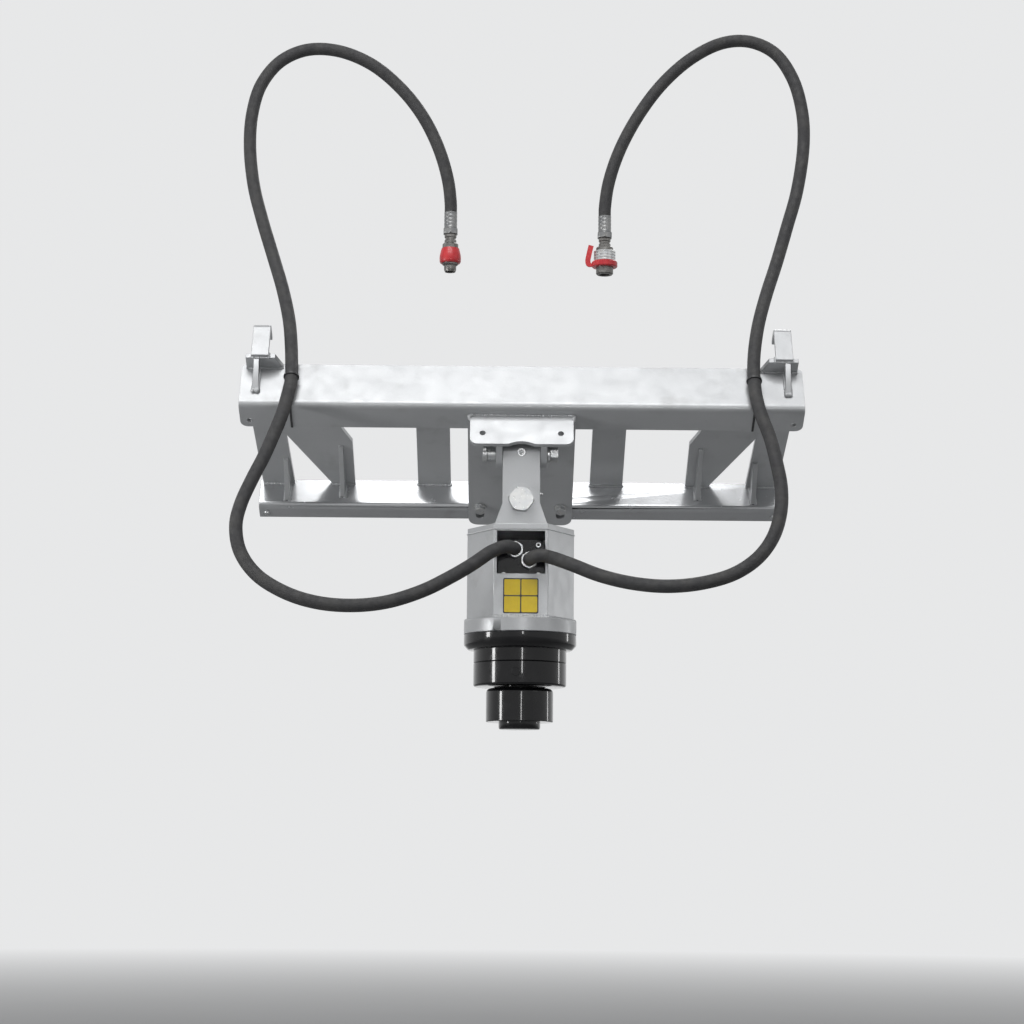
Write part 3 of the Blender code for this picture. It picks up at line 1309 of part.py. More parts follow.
main()
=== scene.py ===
from math import atan, atan2, cos, pi, radians, sin

import bmesh
import bpy
from mathutils import Matrix, Vector


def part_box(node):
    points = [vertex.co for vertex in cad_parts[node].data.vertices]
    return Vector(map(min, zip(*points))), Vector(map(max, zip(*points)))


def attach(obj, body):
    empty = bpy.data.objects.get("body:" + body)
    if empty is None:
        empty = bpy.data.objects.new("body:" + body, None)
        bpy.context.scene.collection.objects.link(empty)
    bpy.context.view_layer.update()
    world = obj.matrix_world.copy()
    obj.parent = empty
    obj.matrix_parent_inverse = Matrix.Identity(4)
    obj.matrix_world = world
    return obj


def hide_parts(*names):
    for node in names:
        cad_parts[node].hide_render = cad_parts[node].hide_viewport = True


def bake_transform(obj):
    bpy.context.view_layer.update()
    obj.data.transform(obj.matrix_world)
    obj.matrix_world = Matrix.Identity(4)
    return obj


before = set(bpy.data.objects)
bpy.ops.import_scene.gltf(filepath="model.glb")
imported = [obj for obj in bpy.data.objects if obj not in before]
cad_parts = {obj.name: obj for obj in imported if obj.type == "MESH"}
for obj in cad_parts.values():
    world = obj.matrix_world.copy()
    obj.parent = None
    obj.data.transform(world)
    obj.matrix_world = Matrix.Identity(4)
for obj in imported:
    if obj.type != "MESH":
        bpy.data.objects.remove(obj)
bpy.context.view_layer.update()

# ---------------------------------------------------------------------------
# The camera stands a little below the lifted auger drive and looks slightly
# up at it, as someone on the ground does. The hitch frame leans 60 degrees
# back, and all places are measured from the middle of the cross pin.

pin_low, pin_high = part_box("swing_pin")
PIN = Vector((0, (pin_low.y + pin_high.y) / 2, (pin_low.z + pin_high.z) / 2))
VIEW_DISTANCE = 4.32
FOCAL_PIXELS = 2400
IMAGE_PIXELS = 1024
HORIZON_PIXEL = 851
VANISH_PIXEL = 503
PIN_PIXEL = (521.5, 454.5)
VIEW_ROLL = radians(0.48)
SENSOR_WIDTH = 36
NEAR_CLIP = 0.05
FAR_CLIP = 100

middle = IMAGE_PIXELS / 2
pitch = atan((HORIZON_PIXEL - middle) / FOCAL_PIXELS)
yaw = atan((VANISH_PIXEL - middle) / FOCAL_PIXELS)
ahead = Vector((-sin(yaw) * cos(pitch), cos(yaw) * cos(pitch), sin(pitch)))
level = Vector((cos(yaw), sin(yaw), 0))
upward = level.cross(ahead)
across = level * cos(VIEW_ROLL) + upward * sin(VIEW_ROLL)
above = upward * cos(VIEW_ROLL) - level * sin(VIEW_ROLL)
pin_right = PIN_PIXEL[0] - middle
pin_up = middle - PIN_PIXEL[1]
to_pin = ahead * FOCAL_PIXELS + across * pin_right + above * pin_up
eye = PIN - to_pin * (VIEW_DISTANCE / to_pin.y)

camera_data = bpy.data.cameras.new("camera")
camera_data.sensor_width = SENSOR_WIDTH
camera_data.lens = SENSOR_WIDTH * FOCAL_PIXELS / IMAGE_PIXELS
camera_data.clip_start = NEAR_CLIP
camera_data.clip_end = FAR_CLIP
camera = bpy.data.objects.new("camera", camera_data)
bpy.context.scene.collection.objects.link(camera)
turn = Matrix((across, above, -ahead)).transposed().to_4x4()
camera.matrix_world = Matrix.Translation(eye) @ turn
bpy.context.scene.camera = camera
bpy.context.scene.view_settings.view_transform = "Standard"

# ---------------------------------------------------------------------------
# The room is a plain pale floor that runs out into a plain pale surround. A
# broad soft lamp hangs over the front and one behind, a weak one fills from the
# right, and three upright strips give the black gear case its thin highlights.

FLOOR_DROP = 1.25
FLOOR_RADIUS = 30.0
FLOOR_SIDES = 96
FADE_START = 2.6
FADE_END = 9.0
SURROUND = (0.80, 0.805, 0.81)
SOFT_FILL = (0.050, 0.051, 0.053)


def new_material(name, colour, roughness, metallic):
    """A material and its shader, plain until a pattern is wired in."""
    material = bpy.data.materials.new(name)
    material.use_nodes = True
    shader = material.node_tree.nodes["Principled BSDF"]
    shader.inputs["Base Color"].default_value = (*colour, 1)
    shader.inputs["Roughness"].default_value = roughness
    shader.inputs["Metallic"].default_value = metallic
    return material, shader


def wire(tree, output, socket):
    """Joins one node's output to another's socket."""
    tree.links.new(output, socket)


def object_place(tree, scale=(1, 1, 1), source="Object"):
    """The piece's own coordinates, in metres, stretched by scale."""
    place = tree.nodes.new("ShaderNodeTexCoord")
    mapping = tree.nodes.new("ShaderNodeMapping")
    mapping.inputs["Scale"].default_value = scale
    wire(tree, place.outputs[source], mapping.inputs["Vector"])
    return mapping.outputs["Vector"]


def cloud(tree, scale, detail=3.0, place=None):
    """Soft noise from 0 to 1."""
    noise = tree.nodes.new("ShaderNodeTexNoise")
    noise.inputs["Scale"].default_value = scale
    noise.inputs["Detail"].default_value = detail
    wire(tree, place or object_place(tree), noise.inputs["Vector"])
    return noise.outputs["Fac"]


def spread(tree, value, low, high, start=0.3, stop=0.7):
    """The value from start to stop carried over to the range from low to high."""
    node = tree.nodes.new("ShaderNodeMapRange")
    ends = {"From Min": start, "From Max": stop, "To Min": low, "To Max": high}
    for name, number in ends.items():
        node.inputs[name].default_value = number
    wire(tree, value, node.inputs["Value"])
    return node.outputs["Result"]


def blended(tree, factor, first, second):
    """A colour between two others, each a colour or another node's output."""
    node = tree.nodes.new("ShaderNodeMix")
    node.data_type = "RGBA"
    wire(tree, factor, node.inputs[0])
    for socket, colour in ((node.inputs[6], first), (node.inputs[7], second)):
        if isinstance(colour, tuple):
            socket.default_value = (*colour, 1)
        else:
            wire(tree, colour, socket)
    return node.outputs[2]


def toned(shader, scale, detail, first, second, start=0.3, stop=0.7):
    """Colours a finish in soft patches between two tones."""
    tree = shader.id_data
    share = spread(tree, cloud(tree, scale, detail), 0.0, 1.0, start, stop)
    wire(tree, blended(tree, share, first, second), shader.inputs["Base Color"])


def finished(name, work, *materials, flat_angle=32):
    """A mesh object in the scene, smooth but for edges sharper than flat_angle."""
    mesh = bpy.data.meshes.new(name)
    work.to_mesh(mesh)
    work.free()
    for material in materials:
        mesh.materials.append(material)
    mesh.shade_smooth()
    mesh.set_sharp_from_angle(angle=radians(flat_angle))
    piece = bpy.data.objects.new(name, mesh)
    bpy.context.scene.collection.objects.link(piece)
    return piece


def shown_rays(tree):
    """1 for what the camera sees, straight or mirrored, and 0 for what only lights."""
    seen = tree.nodes.new("ShaderNodeLightPath")
    total = seen.outputs["Is Camera Ray"]
    for ray in ("Is Glossy Ray", "Is Transmission Ray"):
        either = tree.nodes.new("ShaderNodeMath")
        either.operation = "ADD"
        either.use_clamp = True
        wire(tree, total, either.inputs[0])
        wire(tree, seen.outputs[ray], either.inputs[1])
        total = either.outputs[0]
    return total


floor_paint, floor_shader = new_material("floor_paint", (0.43, 0.435, 0.44), 0.85, 0.0)
floor_tree = floor_paint.node_tree
toned(floor_shader, 0.8, 2, (0.41, 0.415, 0.42), (0.45, 0.455, 0.46))
far_glow = floor_tree.nodes.new("ShaderNodeEmission")
far_glow.inputs["Color"].default_value = (*SURROUND, 1)
far_mix = floor_tree.nodes.new("ShaderNodeMixShader")
length = floor_tree.nodes.new("ShaderNodeVectorMath")
length.operation = "LENGTH"
wire(floor_tree, object_place(floor_tree, (1, 1, 0)), length.inputs[0])
far_share = floor_tree.nodes.new("ShaderNodeMath")
far_share.operation = "MULTIPLY"
faded = spread(floor_tree, length.outputs["Value"], 0, 1, FADE_START, FADE_END)
wire(floor_tree, faded, far_share.inputs[0])
wire(floor_tree, shown_rays(floor_tree), far_share.inputs[1])
wire(floor_tree, far_share.outputs[0], far_mix.inputs[0])
wire(floor_tree, floor_shader.outputs[0], far_mix.inputs[1])
wire(floor_tree, far_glow.outputs[0], far_mix.inputs[2])
wire(floor_tree, far_mix.outputs[0], floor_tree.nodes["Material Output"].inputs["Surface"])
work = bmesh.new()
bmesh.ops.create_circle(work, cap_ends=True, segments=FLOOR_SIDES, radius=FLOOR_RADIUS)
bmesh.ops.translate(work, vec=(0, 0, PIN.z - FLOOR_DROP), verts=work.verts)
floor = finished("floor", work, floor_paint)

world = bpy.data.worlds.new("surround")
bpy.context.scene.world = world
world.use_nodes = True
sky = world.node_tree
light = blended(sky, shown_rays(sky), SOFT_FILL, SURROUND)
wire(sky, light, sky.nodes["Background"].inputs["Color"])

LAMPS = {
    "front_top_lamp": ((-0.4, -2.8, 3.9), (3.6, 3.0), 172),
    "right_fill_lamp": ((3.6, -2.4, 0.9), (1.4, 1.4), 5),
    "left_strip_lamp": ((-2.76, -1.17, -0.38), (0.40, 0.8), 28),
    "view_strip_lamp": ((0.50, -5.6, -0.16), (0.24, 0.9), 16),
    "right_strip_lamp": ((2.4, 0.9, -0.35), (0.16, 0.8), 4),
    "rear_top_lamp": ((0.6, 3.0, 2.8), (2.4, 1.4), 45),
}
for name, (place, size, power) in LAMPS.items():
    lamp = bpy.data.lights.new(name, "AREA")
    lamp.shape = "RECTANGLE"
    lamp.size, lamp.size_y = size
    lamp.energy = power
    lamp_object = bpy.data.objects.new(name, lamp)
    bpy.context.scene.collection.objects.link(lamp_object)
    lamp_object.location = place
    lamp_object.rotation_euler = (PIN - Vector(place)).to_track_quat("-Z", "Y").to_euler()

# ---------------------------------------------------------------------------
# Two pressure hoses run from the motor's ports down and out, up to a cable tie
# on each end of the top beam, and over to their couplings. They are braided
# rubber with a woven cloth cover, 24 mm thick.

HOSE_DIAMETER = 0.024
HOSE_STRAIGHT = 0.012
HOSE_STEP = 0.006
HOSE_SIDES = 28
COVER_BANDS = 34
CURVE_STEPS = 24
FIT_GAP = 0.0003
FRAME_TILT = radians(60)
ELBOW_END = {"left": (-0.042, -0.113, -0.1880), "right": (0.047, -0.114, -0.2010)}
ELBOW_HEADING = {"left": (-0.90, -0.10, -0.42), "right": (0.96, -0.08, -0.28)}
LEFT_LOWER_ROUTE = [
    (-0.088, -0.128, -0.2190),
    (-0.126, -0.139, -0.2430),
    (-0.173, -0.150, -0.2680),
    (-0.235, -0.160, -0.2890),
    (-0.297, -0.165, -0.2960),
    (-0.359, -0.165, -0.2905),
    (-0.414, -0.160, -0.2725),
    (-0.464, -0.150, -0.2405),
    (-0.494, -0.140, -0.1985),
    (-0.503, -0.130, -0.1525),
    (-0.497, -0.116, -0.113),
    (-0.480, -0.102, -0.067),
    (-0.461, -0.088, -0.023),
    (-0.446, -0.075, 0.018),
    (-0.432, -0.060, 0.061),
    (-0.425, -0.0415, 0.0978),
]
RIGHT_LOWER_ROUTE = [
    (0.090, -0.127, -0.2170),
    (0.139, -0.139, -0.2370),
    (0.197, -0.150, -0.2515),
    (0.258, -0.160, -0.2570),
    (0.320, -0.165, -0.2505),
    (0.374, -0.161, -0.233),
    (0.416, -0.151, -0.203),
    (0.443, -0.141, -0.165),
    (0.457, -0.131, -0.120),
    (0.460, -0.116, -0.075),
    (0.454, -0.100, -0.028),
    (0.445, -0.079, 0.021),
    (0.433, -0.060, 0.062),
    (0.4255, -0.0415, 0.0978),
]
LEFT_UPPER_ROUTE = [
    (-0.4225, -0.0018, 0.1680),
    (-0.425, 0.013, 0.198),
    (-0.432, 0.038, 0.252),
    (-0.448, 0.066, 0.319),
    (-0.471, 0.090, 0.392),
    (-0.494, 0.110, 0.464),
    (-0.514, 0.130, 0.538),
    (-0.525, 0.148, 0.622),
    (-0.523, 0.160, 0.690),
    (-0.508, 0.170, 0.750),
    (-0.473, 0.178, 0.799),
    (-0.424, 0.185, 0.825),
    (-0.364, 0.190, 0.826),
    (-0.299, 0.195, 0.802),
    (-0.243, 0.200, 0.758),
    (-0.198, 0.200, 0.702),
    (-0.165, 0.200, 0.637),
    (-0.145, 0.200, 0.570),
]
RIGHT_UPPER_ROUTE = [
    (0.4245, -0.0018, 0.1680),
    (0.428, 0.013, 0.202),
    (0.438, 0.037, 0.255),
    (0.455, 0.062, 0.315),
    (0.478, 0.087, 0.384),
    (0.501, 0.108, 0.460),
    (0.523, 0.128, 0.536),
    (0.539, 0.150, 0.635),
    (0.538, 0.160, 0.702),
    (0.521, 0.172, 0.774),
    (0.487, 0.180, 0.827),
    (0.439, 0.186, 0.851),
    (0.388, 0.190, 0.849),
    (0.330, 0.195, 0.821),
    (0.273, 0.200, 0.771),
    (0.224, 0.200, 0.704),
    (0.187, 0.200, 0.632),
    (0.166, 0.200, 0.566),
]
HOSE_END = {"left": (-0.139, 0.200, 0.507), "right": (0.159, 0.200, 0.502)}
TIE_X = {"left": -0.421, "right": 0.4235}
TIE_LOCAL_Y = -0.0745
TIE_LOCAL_Z = 0.0117
LOWEST_X = {"left": -0.297, "right": 0.258}


def roughened(shader, scale, detail, low, high):
    """Varies a finish's roughness in soft patches between two values."""
    tree = shader.id_data
    wire(tree, spread(tree, cloud(tree, scale, detail), low, high), shader.inputs["Roughness"])


def raised(shader, *layers):
    """Bumps a finish in layers of (height, strength, depth in metres).

    A height is a node's output, or the (scale, detail) of soft noise.
    """
    tree = shader.id_data
    normal = None
    for height, strength, depth in layers:
        if isinstance(height, tuple):
            height = cloud(tree, *height)
        bump = tree.nodes.new("ShaderNodeBump")
        bump.inputs["Strength"].default_value = strength
        bump.inputs["Distance"].default_value = depth
        wire(tree, height, bump.inputs["Height"])
        if normal:
            wire(tree, normal, bump.inputs["Normal"])
        normal = bump.outputs["Normal"]
    wire(tree, normal, shader.inputs["Normal"])


hose_rubber, hose_shader = new_material("hose_rubber", (0.05, 0.05, 0.052), 0.66, 0.0)
hose_tree = hose_rubber.node_tree
ridges = []
for side in (1, -1):
    wave = hose_tree.nodes.new("ShaderNodeTexWave")
    wave.bands_direction = "DIAGONAL"
    wave.inputs["Scale"].default_value = 2 * pi * COVER_BANDS / 10
    wire(hose_tree, object_place(hose_tree, (1, side, 0), "UV"), wave.inputs["Vector"])
    ridges.append(wave.outputs["Fac"])
weave = hose_tree.nodes.new("ShaderNodeMath")
weave.operation = "MULTIPLY"
wire(hose_tree, ridges[0], weave.inputs[0])
wire(hose_tree, ridges[1], weave.inputs[1])
dust = spread(hose_tree, cloud(hose_tree, 38, 5), 0.0, 1.0, 0.42, 0.72)
rubber_colour = blended(
    hose_tree, weave.outputs[0], (0.024, 0.024, 0.026), (0.056, 0.056, 0.058)
)
rubber_colour = blended(hose_tree, dust, rubber_colour, (0.052, 0.051, 0.050))
wire(hose_tree, rubber_colour, hose_shader.inputs["Base Color"])
roughened(hose_shader, 120, 2, 0.54, 0.74)
raised(hose_shader, (weave.outputs[0], 0.55, 0.0005), ((420, 2), 0.25, 0.0004))


def smooth_path(points, before, after, spacing):
    """Even points along a smooth curve through the given ones, ends included."""
    knots = [Vector(point) for point in [before, *points, after]]
    dense = []
    for index in range(1, len(knots) - 2):
        p0, p1, p2, p3 = knots[index - 1 : index + 3]
        t1 = (p1 - p0).length ** 0.5
        t2 = t1 + (p2 - p1).length ** 0.5
        t3 = t2 + (p3 - p2).length ** 0.5
        for step in range(CURVE_STEPS):
            t = t1 + (t2 - t1) * step / CURVE_STEPS
            a1 = p0.lerp(p1, t / t1)
            a2 = p1.lerp(p2, (t - t1) / (t2 - t1))
            a3 = p2.lerp(p3, (t - t2) / (t3 - t2))
            b1 = a1.lerp(a2, t / t2)
            b2 = a2.lerp(a3, (t - t1) / (t3 - t1))
            dense.append(b1.lerp(b2, (t - t1) / (t2 - t1)))
    dense.append(knots[-2])
    return evened(dense, spacing)


def evened(dense, spacing):
    """The same line with its points spaced evenly."""
    runs = [0.0]
    for near, far in zip(dense, dense[1:]):
        runs.append(runs[-1] + (far - near).length)
    count = max(2, round(runs[-1] / spacing))
    path = []
    at = 0
    for step in range(count):
        wanted = runs[-1] * step / count
        while runs[at + 1] < wanted:
            at += 1
        share = (wanted - runs[at]) / (runs[at + 1] - runs[at])
        path.append(dense[at].lerp(dense[at + 1], share))
    path.append(dense[-1])
    return path


def path_length(path):
    """How long a line of points is."""
    return sum((far - near).length for near, far in zip(path, path[1:]))


def swept(name, path, radii, sides, first_side, *materials):
    """A closed round tube along a path, and the side where its seam ends.

    The seam starts at first_side, and the UV runs in turns of the hose.
    """
    work = bmesh.new()
    layer = work.loops.layers.uv.new("UVMap")
    side = Vector(first_side)
    rings = []
    runs = [0.0]
    for index, place in enumerate(path):
        before = path[max(index - 1, 0)]
        after = path[min(index + 1, len(path) - 1)]
        along = (after - before).normalized()
        side = (side - along * side.dot(along)).normalized()
        other = along.cross(side)
        radius = radii[index] if isinstance(radii, list) else radii
        ring = []
        for step in range(sides):
            angle = 2 * pi * step / sides
            outward = side * cos(angle) + other * sin(angle)
            ring.append(work.verts.new(place + outward * radius))
        rings.append(ring)
        if index:
            runs.append(runs[-1] + (place - before).length)
    turn_length = pi * HOSE_DIAMETER
    for index, (near, far) in enumerate(zip(rings, rings[1:])):
        for step in range(sides):
            after = (step + 1) % sides
            face = work.faces.new((near[step], near[after], far[after], far[step]))
            starts = (runs[index], runs[index], runs[index + 1], runs[index + 1])
            turns = (step, step + 1, step + 1, step)
            for loop, run, share in zip(face.loops, starts, turns):
                loop[layer].uv = (run / turn_length, share / sides)
    work.faces.new(list(reversed(rings[0])))
    work.faces.new(rings[-1])
    return finished(name, work, *materials, flat_angle=50), side


def hose_path(start, start_heading, route, end, end_heading):
    """The hose's line: a short straight run at each end and the route between."""
    leave = Vector(start_heading).normalized()
    arrive = Vector(end_heading).normalized()
    first = Vector(start) + leave * FIT_GAP
    last = Vector(end) - arrive * FIT_GAP
    lead_in = first + leave * HOSE_STRAIGHT
    lead_out = last - arrive * HOSE_STRAIGHT
    curve = smooth_path([lead_in, *route, lead_out], first, last, HOSE_STEP)
    return [PIN + place for place in (first, *curve, last)]


tilt = Matrix.Rotation(FRAME_TILT, 3, "X")
rearward = tilt @ Vector((0, 1, 0))
hose_ends = {}
radius = HOSE_DIAMETER / 2
for side, hand, lower_route, upper_route in (
    ("left", -1, LEFT_LOWER_ROUTE, LEFT_UPPER_ROUTE),
    ("right", 1, RIGHT_LOWER_ROUTE, RIGHT_UPPER_ROUTE),
):
    tie_place = tilt @ Vector((TIE_X[side], TIE_LOCAL_Y, TIE_LOCAL_Z)) - PIN
    lower = hose_path(
        ELBOW_END[side], ELBOW_HEADING[side], lower_route, tie_place, rearward
    )
    split = min(range(len(lower)), key=lambda at: abs(lower[at].x - LOWEST_X[side]))
    first_run = lower[: split + 1]
    second_run = lower[split:]
    upper = hose_path(tie_place, rearward, upper_route, HOSE_END[side], (0, 0, -1))
    near_drive, seam = swept(
        f"{side}_hose_from_port", first_run, radius, HOSE_SIDES, (0, 0, 1), hose_rubber
    )
    near_frame, seam = swept(
        f"{side}_hose_to_tie", second_run, radius, HOSE_SIDES, seam, hose_rubber
    )
    over, seam = swept(f"{side}_hose_over", upper, radius, HOSE_SIDES, seam, hose_rubber)
    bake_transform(near_drive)
    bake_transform(near_frame)
    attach(over, "hitch")
    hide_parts(f"{side}_lower_hose")
    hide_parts(f"{side}_lower_hose")
    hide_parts(f"{side}_upper_hose")
    hose_ends[side] = (over, upper)

# ---------------------------------------------------------------------------
# Each hose ends in a zinc-plated crimped sleeve and hexagon swivel, and one half
# of a dark steel quick coupling: on the left the plug with a red plastic dust
# ring, on the right the socket with a zinc-plated sliding collar and a red cap.

FERRULE_RADIUS = 0.0125
FERRULE_LENGTH = 0.033
SWIVEL_ACROSS = 0.027
SWIVEL_HEIGHT = 0.011
NECK_RADIUS = 0.0115
NECK_LENGTH = 0.018
BORE_SHARE = 0.6
LATHE_SIDES = 64
HEXAGON_SIDES = 48
HEXAGON_CORNER = 1.150
TURNED_OFF = 0.095


def zinc_finish(name, dull, bright, low_roughness, high_roughness):
    """Zinc plating with faint stains; dull and bright are its two greys."""
    material, shader = new_material(name, bright, low_roughness, 1.0)
    tree = material.node_tree
    plate_shift = spread(tree, cloud(tree, 90, 4), 0.0, 1.0)
    stain = spread(tree, cloud(tree, 180, 4), 0.0, 0.25, 0.64, 0.82)
    plating = blended(tree, plate_shift, dull, bright)
    colour = blended(tree, stain, plating, (0.22, 0.215, 0.20))
    wire(tree, colour, shader.inputs["Base Color"])
    roughened(shader, 400, 3, low_roughness, high_roughness)
    raised(shader, ((160, 2), 0.05, 0.0003))
    return material


zinc = zinc_finish("zinc_plate", (0.46, 0.475, 0.49), (0.56, 0.56, 0.55), 0.26, 0.40)
crimp_zinc = zinc_finish(
    "crimped_zinc_plate", (0.20, 0.205, 0.21), (0.27, 0.27, 0.265), 0.34, 0.46
)

dark_steel, dark_shader = new_material("dark_coupling_steel", (0.17, 0.165, 0.16), 0.42, 0.9)
toned(dark_shader, 140, 5, (0.12, 0.115, 0.11), (0.24, 0.235, 0.225))
roughened(dark_shader, 300, 3, 0.32, 0.52)

red_plastic, red_shader = new_material("red_plastic", (0.62, 0.03, 0.04), 0.38, 0.0)
red_shader.inputs["Coat Weight"].default_value = 0.15
toned(red_shader, 60, 4, (0.52, 0.018, 0.028), (0.70, 0.05, 0.055))
roughened(red_shader, 300, 3, 0.30, 0.48)
raised(red_shader, ((500, 2), 0.15, 0.0003))


def circle_row(work, centre, height, sides, radius_at):
    """A level row of points round an upright axis; radius_at gives each angle's radius."""
    row = []
    for step in range(sides):
        angle = 2 * pi * step / sides
        radius = radius_at(angle)
        x = centre[0] + radius * cos(angle)
        y = centre[1] + radius * sin(angle)
        row.append(work.verts.new((x, y, height)))
    return row


def lathed(name, profile, centre, *materials, sides=LATHE_SIDES, flat_angle=32):
    """A turned piece about an upright axis, from a profile of (radius, height).

    A profile that starts on the axis runs from one end to the other, and any
    other profile is a closed ring.
    """
    work = bmesh.new()
    closed = profile[0][0] > 0
    rows = []
    for radius, height in profile:
        if radius == 0:
            rows.append([work.verts.new((centre[0], centre[1], height))])
        else:
            rows.append(circle_row(work, centre, height, sides, lambda angle: radius))
    pairs = list(zip(rows, rows[1:]))
    if closed:
        pairs.append((rows[-1], rows[0]))
    for upper_row, lower_row in pairs:
        for step in range(sides):
            after = (step + 1) % sides
            if len(upper_row) == 1:
                corners = (upper_row[0], lower_row[step], lower_row[after])
            elif len(lower_row) == 1:
                corners = (upper_row[step], lower_row[0], upper_row[after])
            else:
                corners = (upper_row[step], lower_row[step], lower_row[after], upper_row[after])
            work.faces.new(corners)
    bmesh.ops.recalc_face_normals(work, faces=work.faces)
    return finished(name, work, *materials, flat_angle=flat_angle)


def skinned(work, rows):
    """Joins each row of points to the next with a band of faces."""
    for near, far in zip(rows, rows[1:]):
        for step in range(len(near)):
            after = (step + 1) % len(near)
            work.faces.new((near[step], near[after], far[after], far[step]))


def hexagon_head(name, centre, across_flats, low, high, chamfer, *materials, bore=0.0):
    """A hexagon with turned-off corners, standing on an upright axis."""
    work = bmesh.new()
    flat = across_flats / 2
    rows = []
    shapes = [(low, 1.0), (low + chamfer, 0.0), (high - chamfer, 0.0), (high, 1.0)]
    for height, turned_off in shapes:
        corner_radius = flat * (HEXAGON_CORNER - TURNED_OFF * turned_off)

        def hexagon_radius(angle):
            within = (angle + pi / 6) % (pi / 3) - pi / 6
            return min(flat / cos(within), corner_radius)

        rows.append(circle_row(work, centre, height, HEXAGON_SIDES, hexagon_radius))
    if bore:
        for height in (high, low):
            rows.append(circle_row(work, centre, height, HEXAGON_SIDES, lambda angle: bore))
        rows.append(rows[0])
    else:
        work.faces.new(rows[0])
        work.faces.new(rows[-1])
    skinned(work, rows)
    bmesh.ops.recalc_face_normals(work, faces=work.faces)
    return finished(name, work, *materials, flat_angle=20)


def joined(name, *pieces):
    """Several mesh objects made one."""
    work = bmesh.new()
    for piece in pieces:
        work.from_mesh(piece.data)
    materials = list(pieces[0].data.materials)
    for piece in pieces:
        bpy.data.objects.remove(piece)
    return finished(name, work, *materials, flat_angle=30)


def grooved(top, low, outer, depth, count):
    """A profile from top to low with rounded grooves, as crimp jaws or a grip leave."""
    pitch_length = (top - low) / (2 * count + 1)
    points = [(outer - 0.0008, top), (outer, top - 0.0008)]
    for groove in range(count):
        start = top - pitch_length * (2 * groove + 1)
        points += [
            (outer, start),
            (outer - depth, start - pitch_length * 0.25),
            (outer - depth, start - pitch_length * 0.75),
            (outer, start - pitch_length),
        ]
    return points + [(outer, low + 0.0008), (outer - 0.0008, low)]


def fitted(piece, body, slot, *nodes):
    """Hangs a piece on its body and hides the solids it stands for; the slot argument is not used.
    """
    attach(piece, body)
    if nodes:
        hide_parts(*nodes)
    return piece


end_pieces = {}
necks = {}
for side, (x, y, z) in HOSE_END.items():
    centre = (x + PIN.x, y + PIN.y)
    top = z + PIN.z
    ferrule_low = top - FERRULE_LENGTH
    swivel_low = ferrule_low - SWIVEL_HEIGHT
    crimps = grooved(top, ferrule_low, FERRULE_RADIUS, 0.0003, 4)
    ferrule = lathed(
        f"{side}_crimp", [(0, top), *crimps, (0, ferrule_low)], centre, crimp_zinc
    )
    swivel = hexagon_head(
        f"{side}_swivel",
        centre,
        SWIVEL_ACROSS,
        swivel_low,
        ferrule_low - 0.0001,
        0.0012,
        crimp_zinc,
    )
    fitting = joined(f"{side}_hose_end", ferrule, swivel)
    fitted(fitting, "hitch", "zinc", f"{side}_hose_fitting")
    end_pieces[side] = [fitting]
    neck_top = swivel_low - FIT_GAP
    shoulder = neck_top - NECK_LENGTH
    neck = [(0, neck_top), *grooved(neck_top, shoulder, NECK_RADIUS, 0.0014, 1)]
    necks[side] = (centre, shoulder, neck)

centre, shoulder, neck = necks["left"]
PLUG_RADIUS = 0.01525
PLUG_LENGTH = 0.056
profile = [
    *neck,
    (PLUG_RADIUS - 0.002, shoulder),
    (PLUG_RADIUS, shoulder - 0.002),
    (PLUG_RADIUS, shoulder - 0.042),
    (PLUG_RADIUS - 0.0035, shoulder - 0.0445),
    (PLUG_RADIUS - 0.0035, shoulder - 0.052),
    (PLUG_RADIUS - 0.005, shoulder - PLUG_LENGTH),
    (PLUG_RADIUS * BORE_SHARE, shoulder - PLUG_LENGTH),
    (PLUG_RADIUS * BORE_SHARE, shoulder - PLUG_LENGTH * BORE_SHARE),
    (0, shoulder - PLUG_LENGTH * BORE_SHARE),
]
plug = lathed("left_coupling_plug", profile, centre, dark_steel)
fitted(plug, "hitch", "gear_steel", "left_coupler")
ring_top = shoulder - 0.010
ring_low = ring_top - 0.029
ring_inner = PLUG_RADIUS + FIT_GAP
profile = [
    (ring_inner, ring_top),
    (ring_inner + 0.0014, ring_top),
    (ring_inner + 0.0026, ring_top - 0.0040),
    (ring_inner + 0.0042, ring_top - 0.0110),
    (ring_inner + 0.0050, ring_top - 0.0150),
    (ring_inner + 0.0052, ring_top - 0.0200),
    (ring_inner + 0.0050, ring_low + 0.0040),
    (ring_inner + 0.0042, ring_low + 0.0012),
    (ring_inner + 0.0030, ring_low),
    (ring_inner, ring_low),
]
dust_ring = lathed("left_dust_cap", profile, centre, red_plastic)
fitted(dust_ring, "hitch", "red_rubber", "left_dust_ring")
end_pieces["left"] += [plug, dust_ring]

centre, shoulder, neck = necks["right"]
SOCKET_RADIUS = 0.0165
SOCKET_LENGTH = 0.054
profile = [
    *neck,
    (SOCKET_RADIUS - 0.0015, shoulder),
    (SOCKET_RADIUS, shoulder - 0.0015),
    (SOCKET_RADIUS, shoulder - SOCKET_LENGTH + 0.002),
    (SOCKET_RADIUS - 0.002, shoulder - SOCKET_LENGTH),
    (SOCKET_RADIUS * BORE_SHARE, shoulder - SOCKET_LENGTH),
    (SOCKET_RADIUS * BORE_SHARE, shoulder - SOCKET_LENGTH * BORE_SHARE),
    (0, shoulder - SOCKET_LENGTH * BORE_SHARE),
]
socket = lathed("right_coupling_socket", profile, centre, dark_steel)
fitted(socket, "hitch", "gear_steel", "right_coupler")
collar_top = shoulder - 0.008
collar_low = collar_top - 0.020
collar_inner = SOCKET_RADIUS + FIT_GAP
grip = grooved(collar_top, collar_low, 0.021, 0.0010, 3)
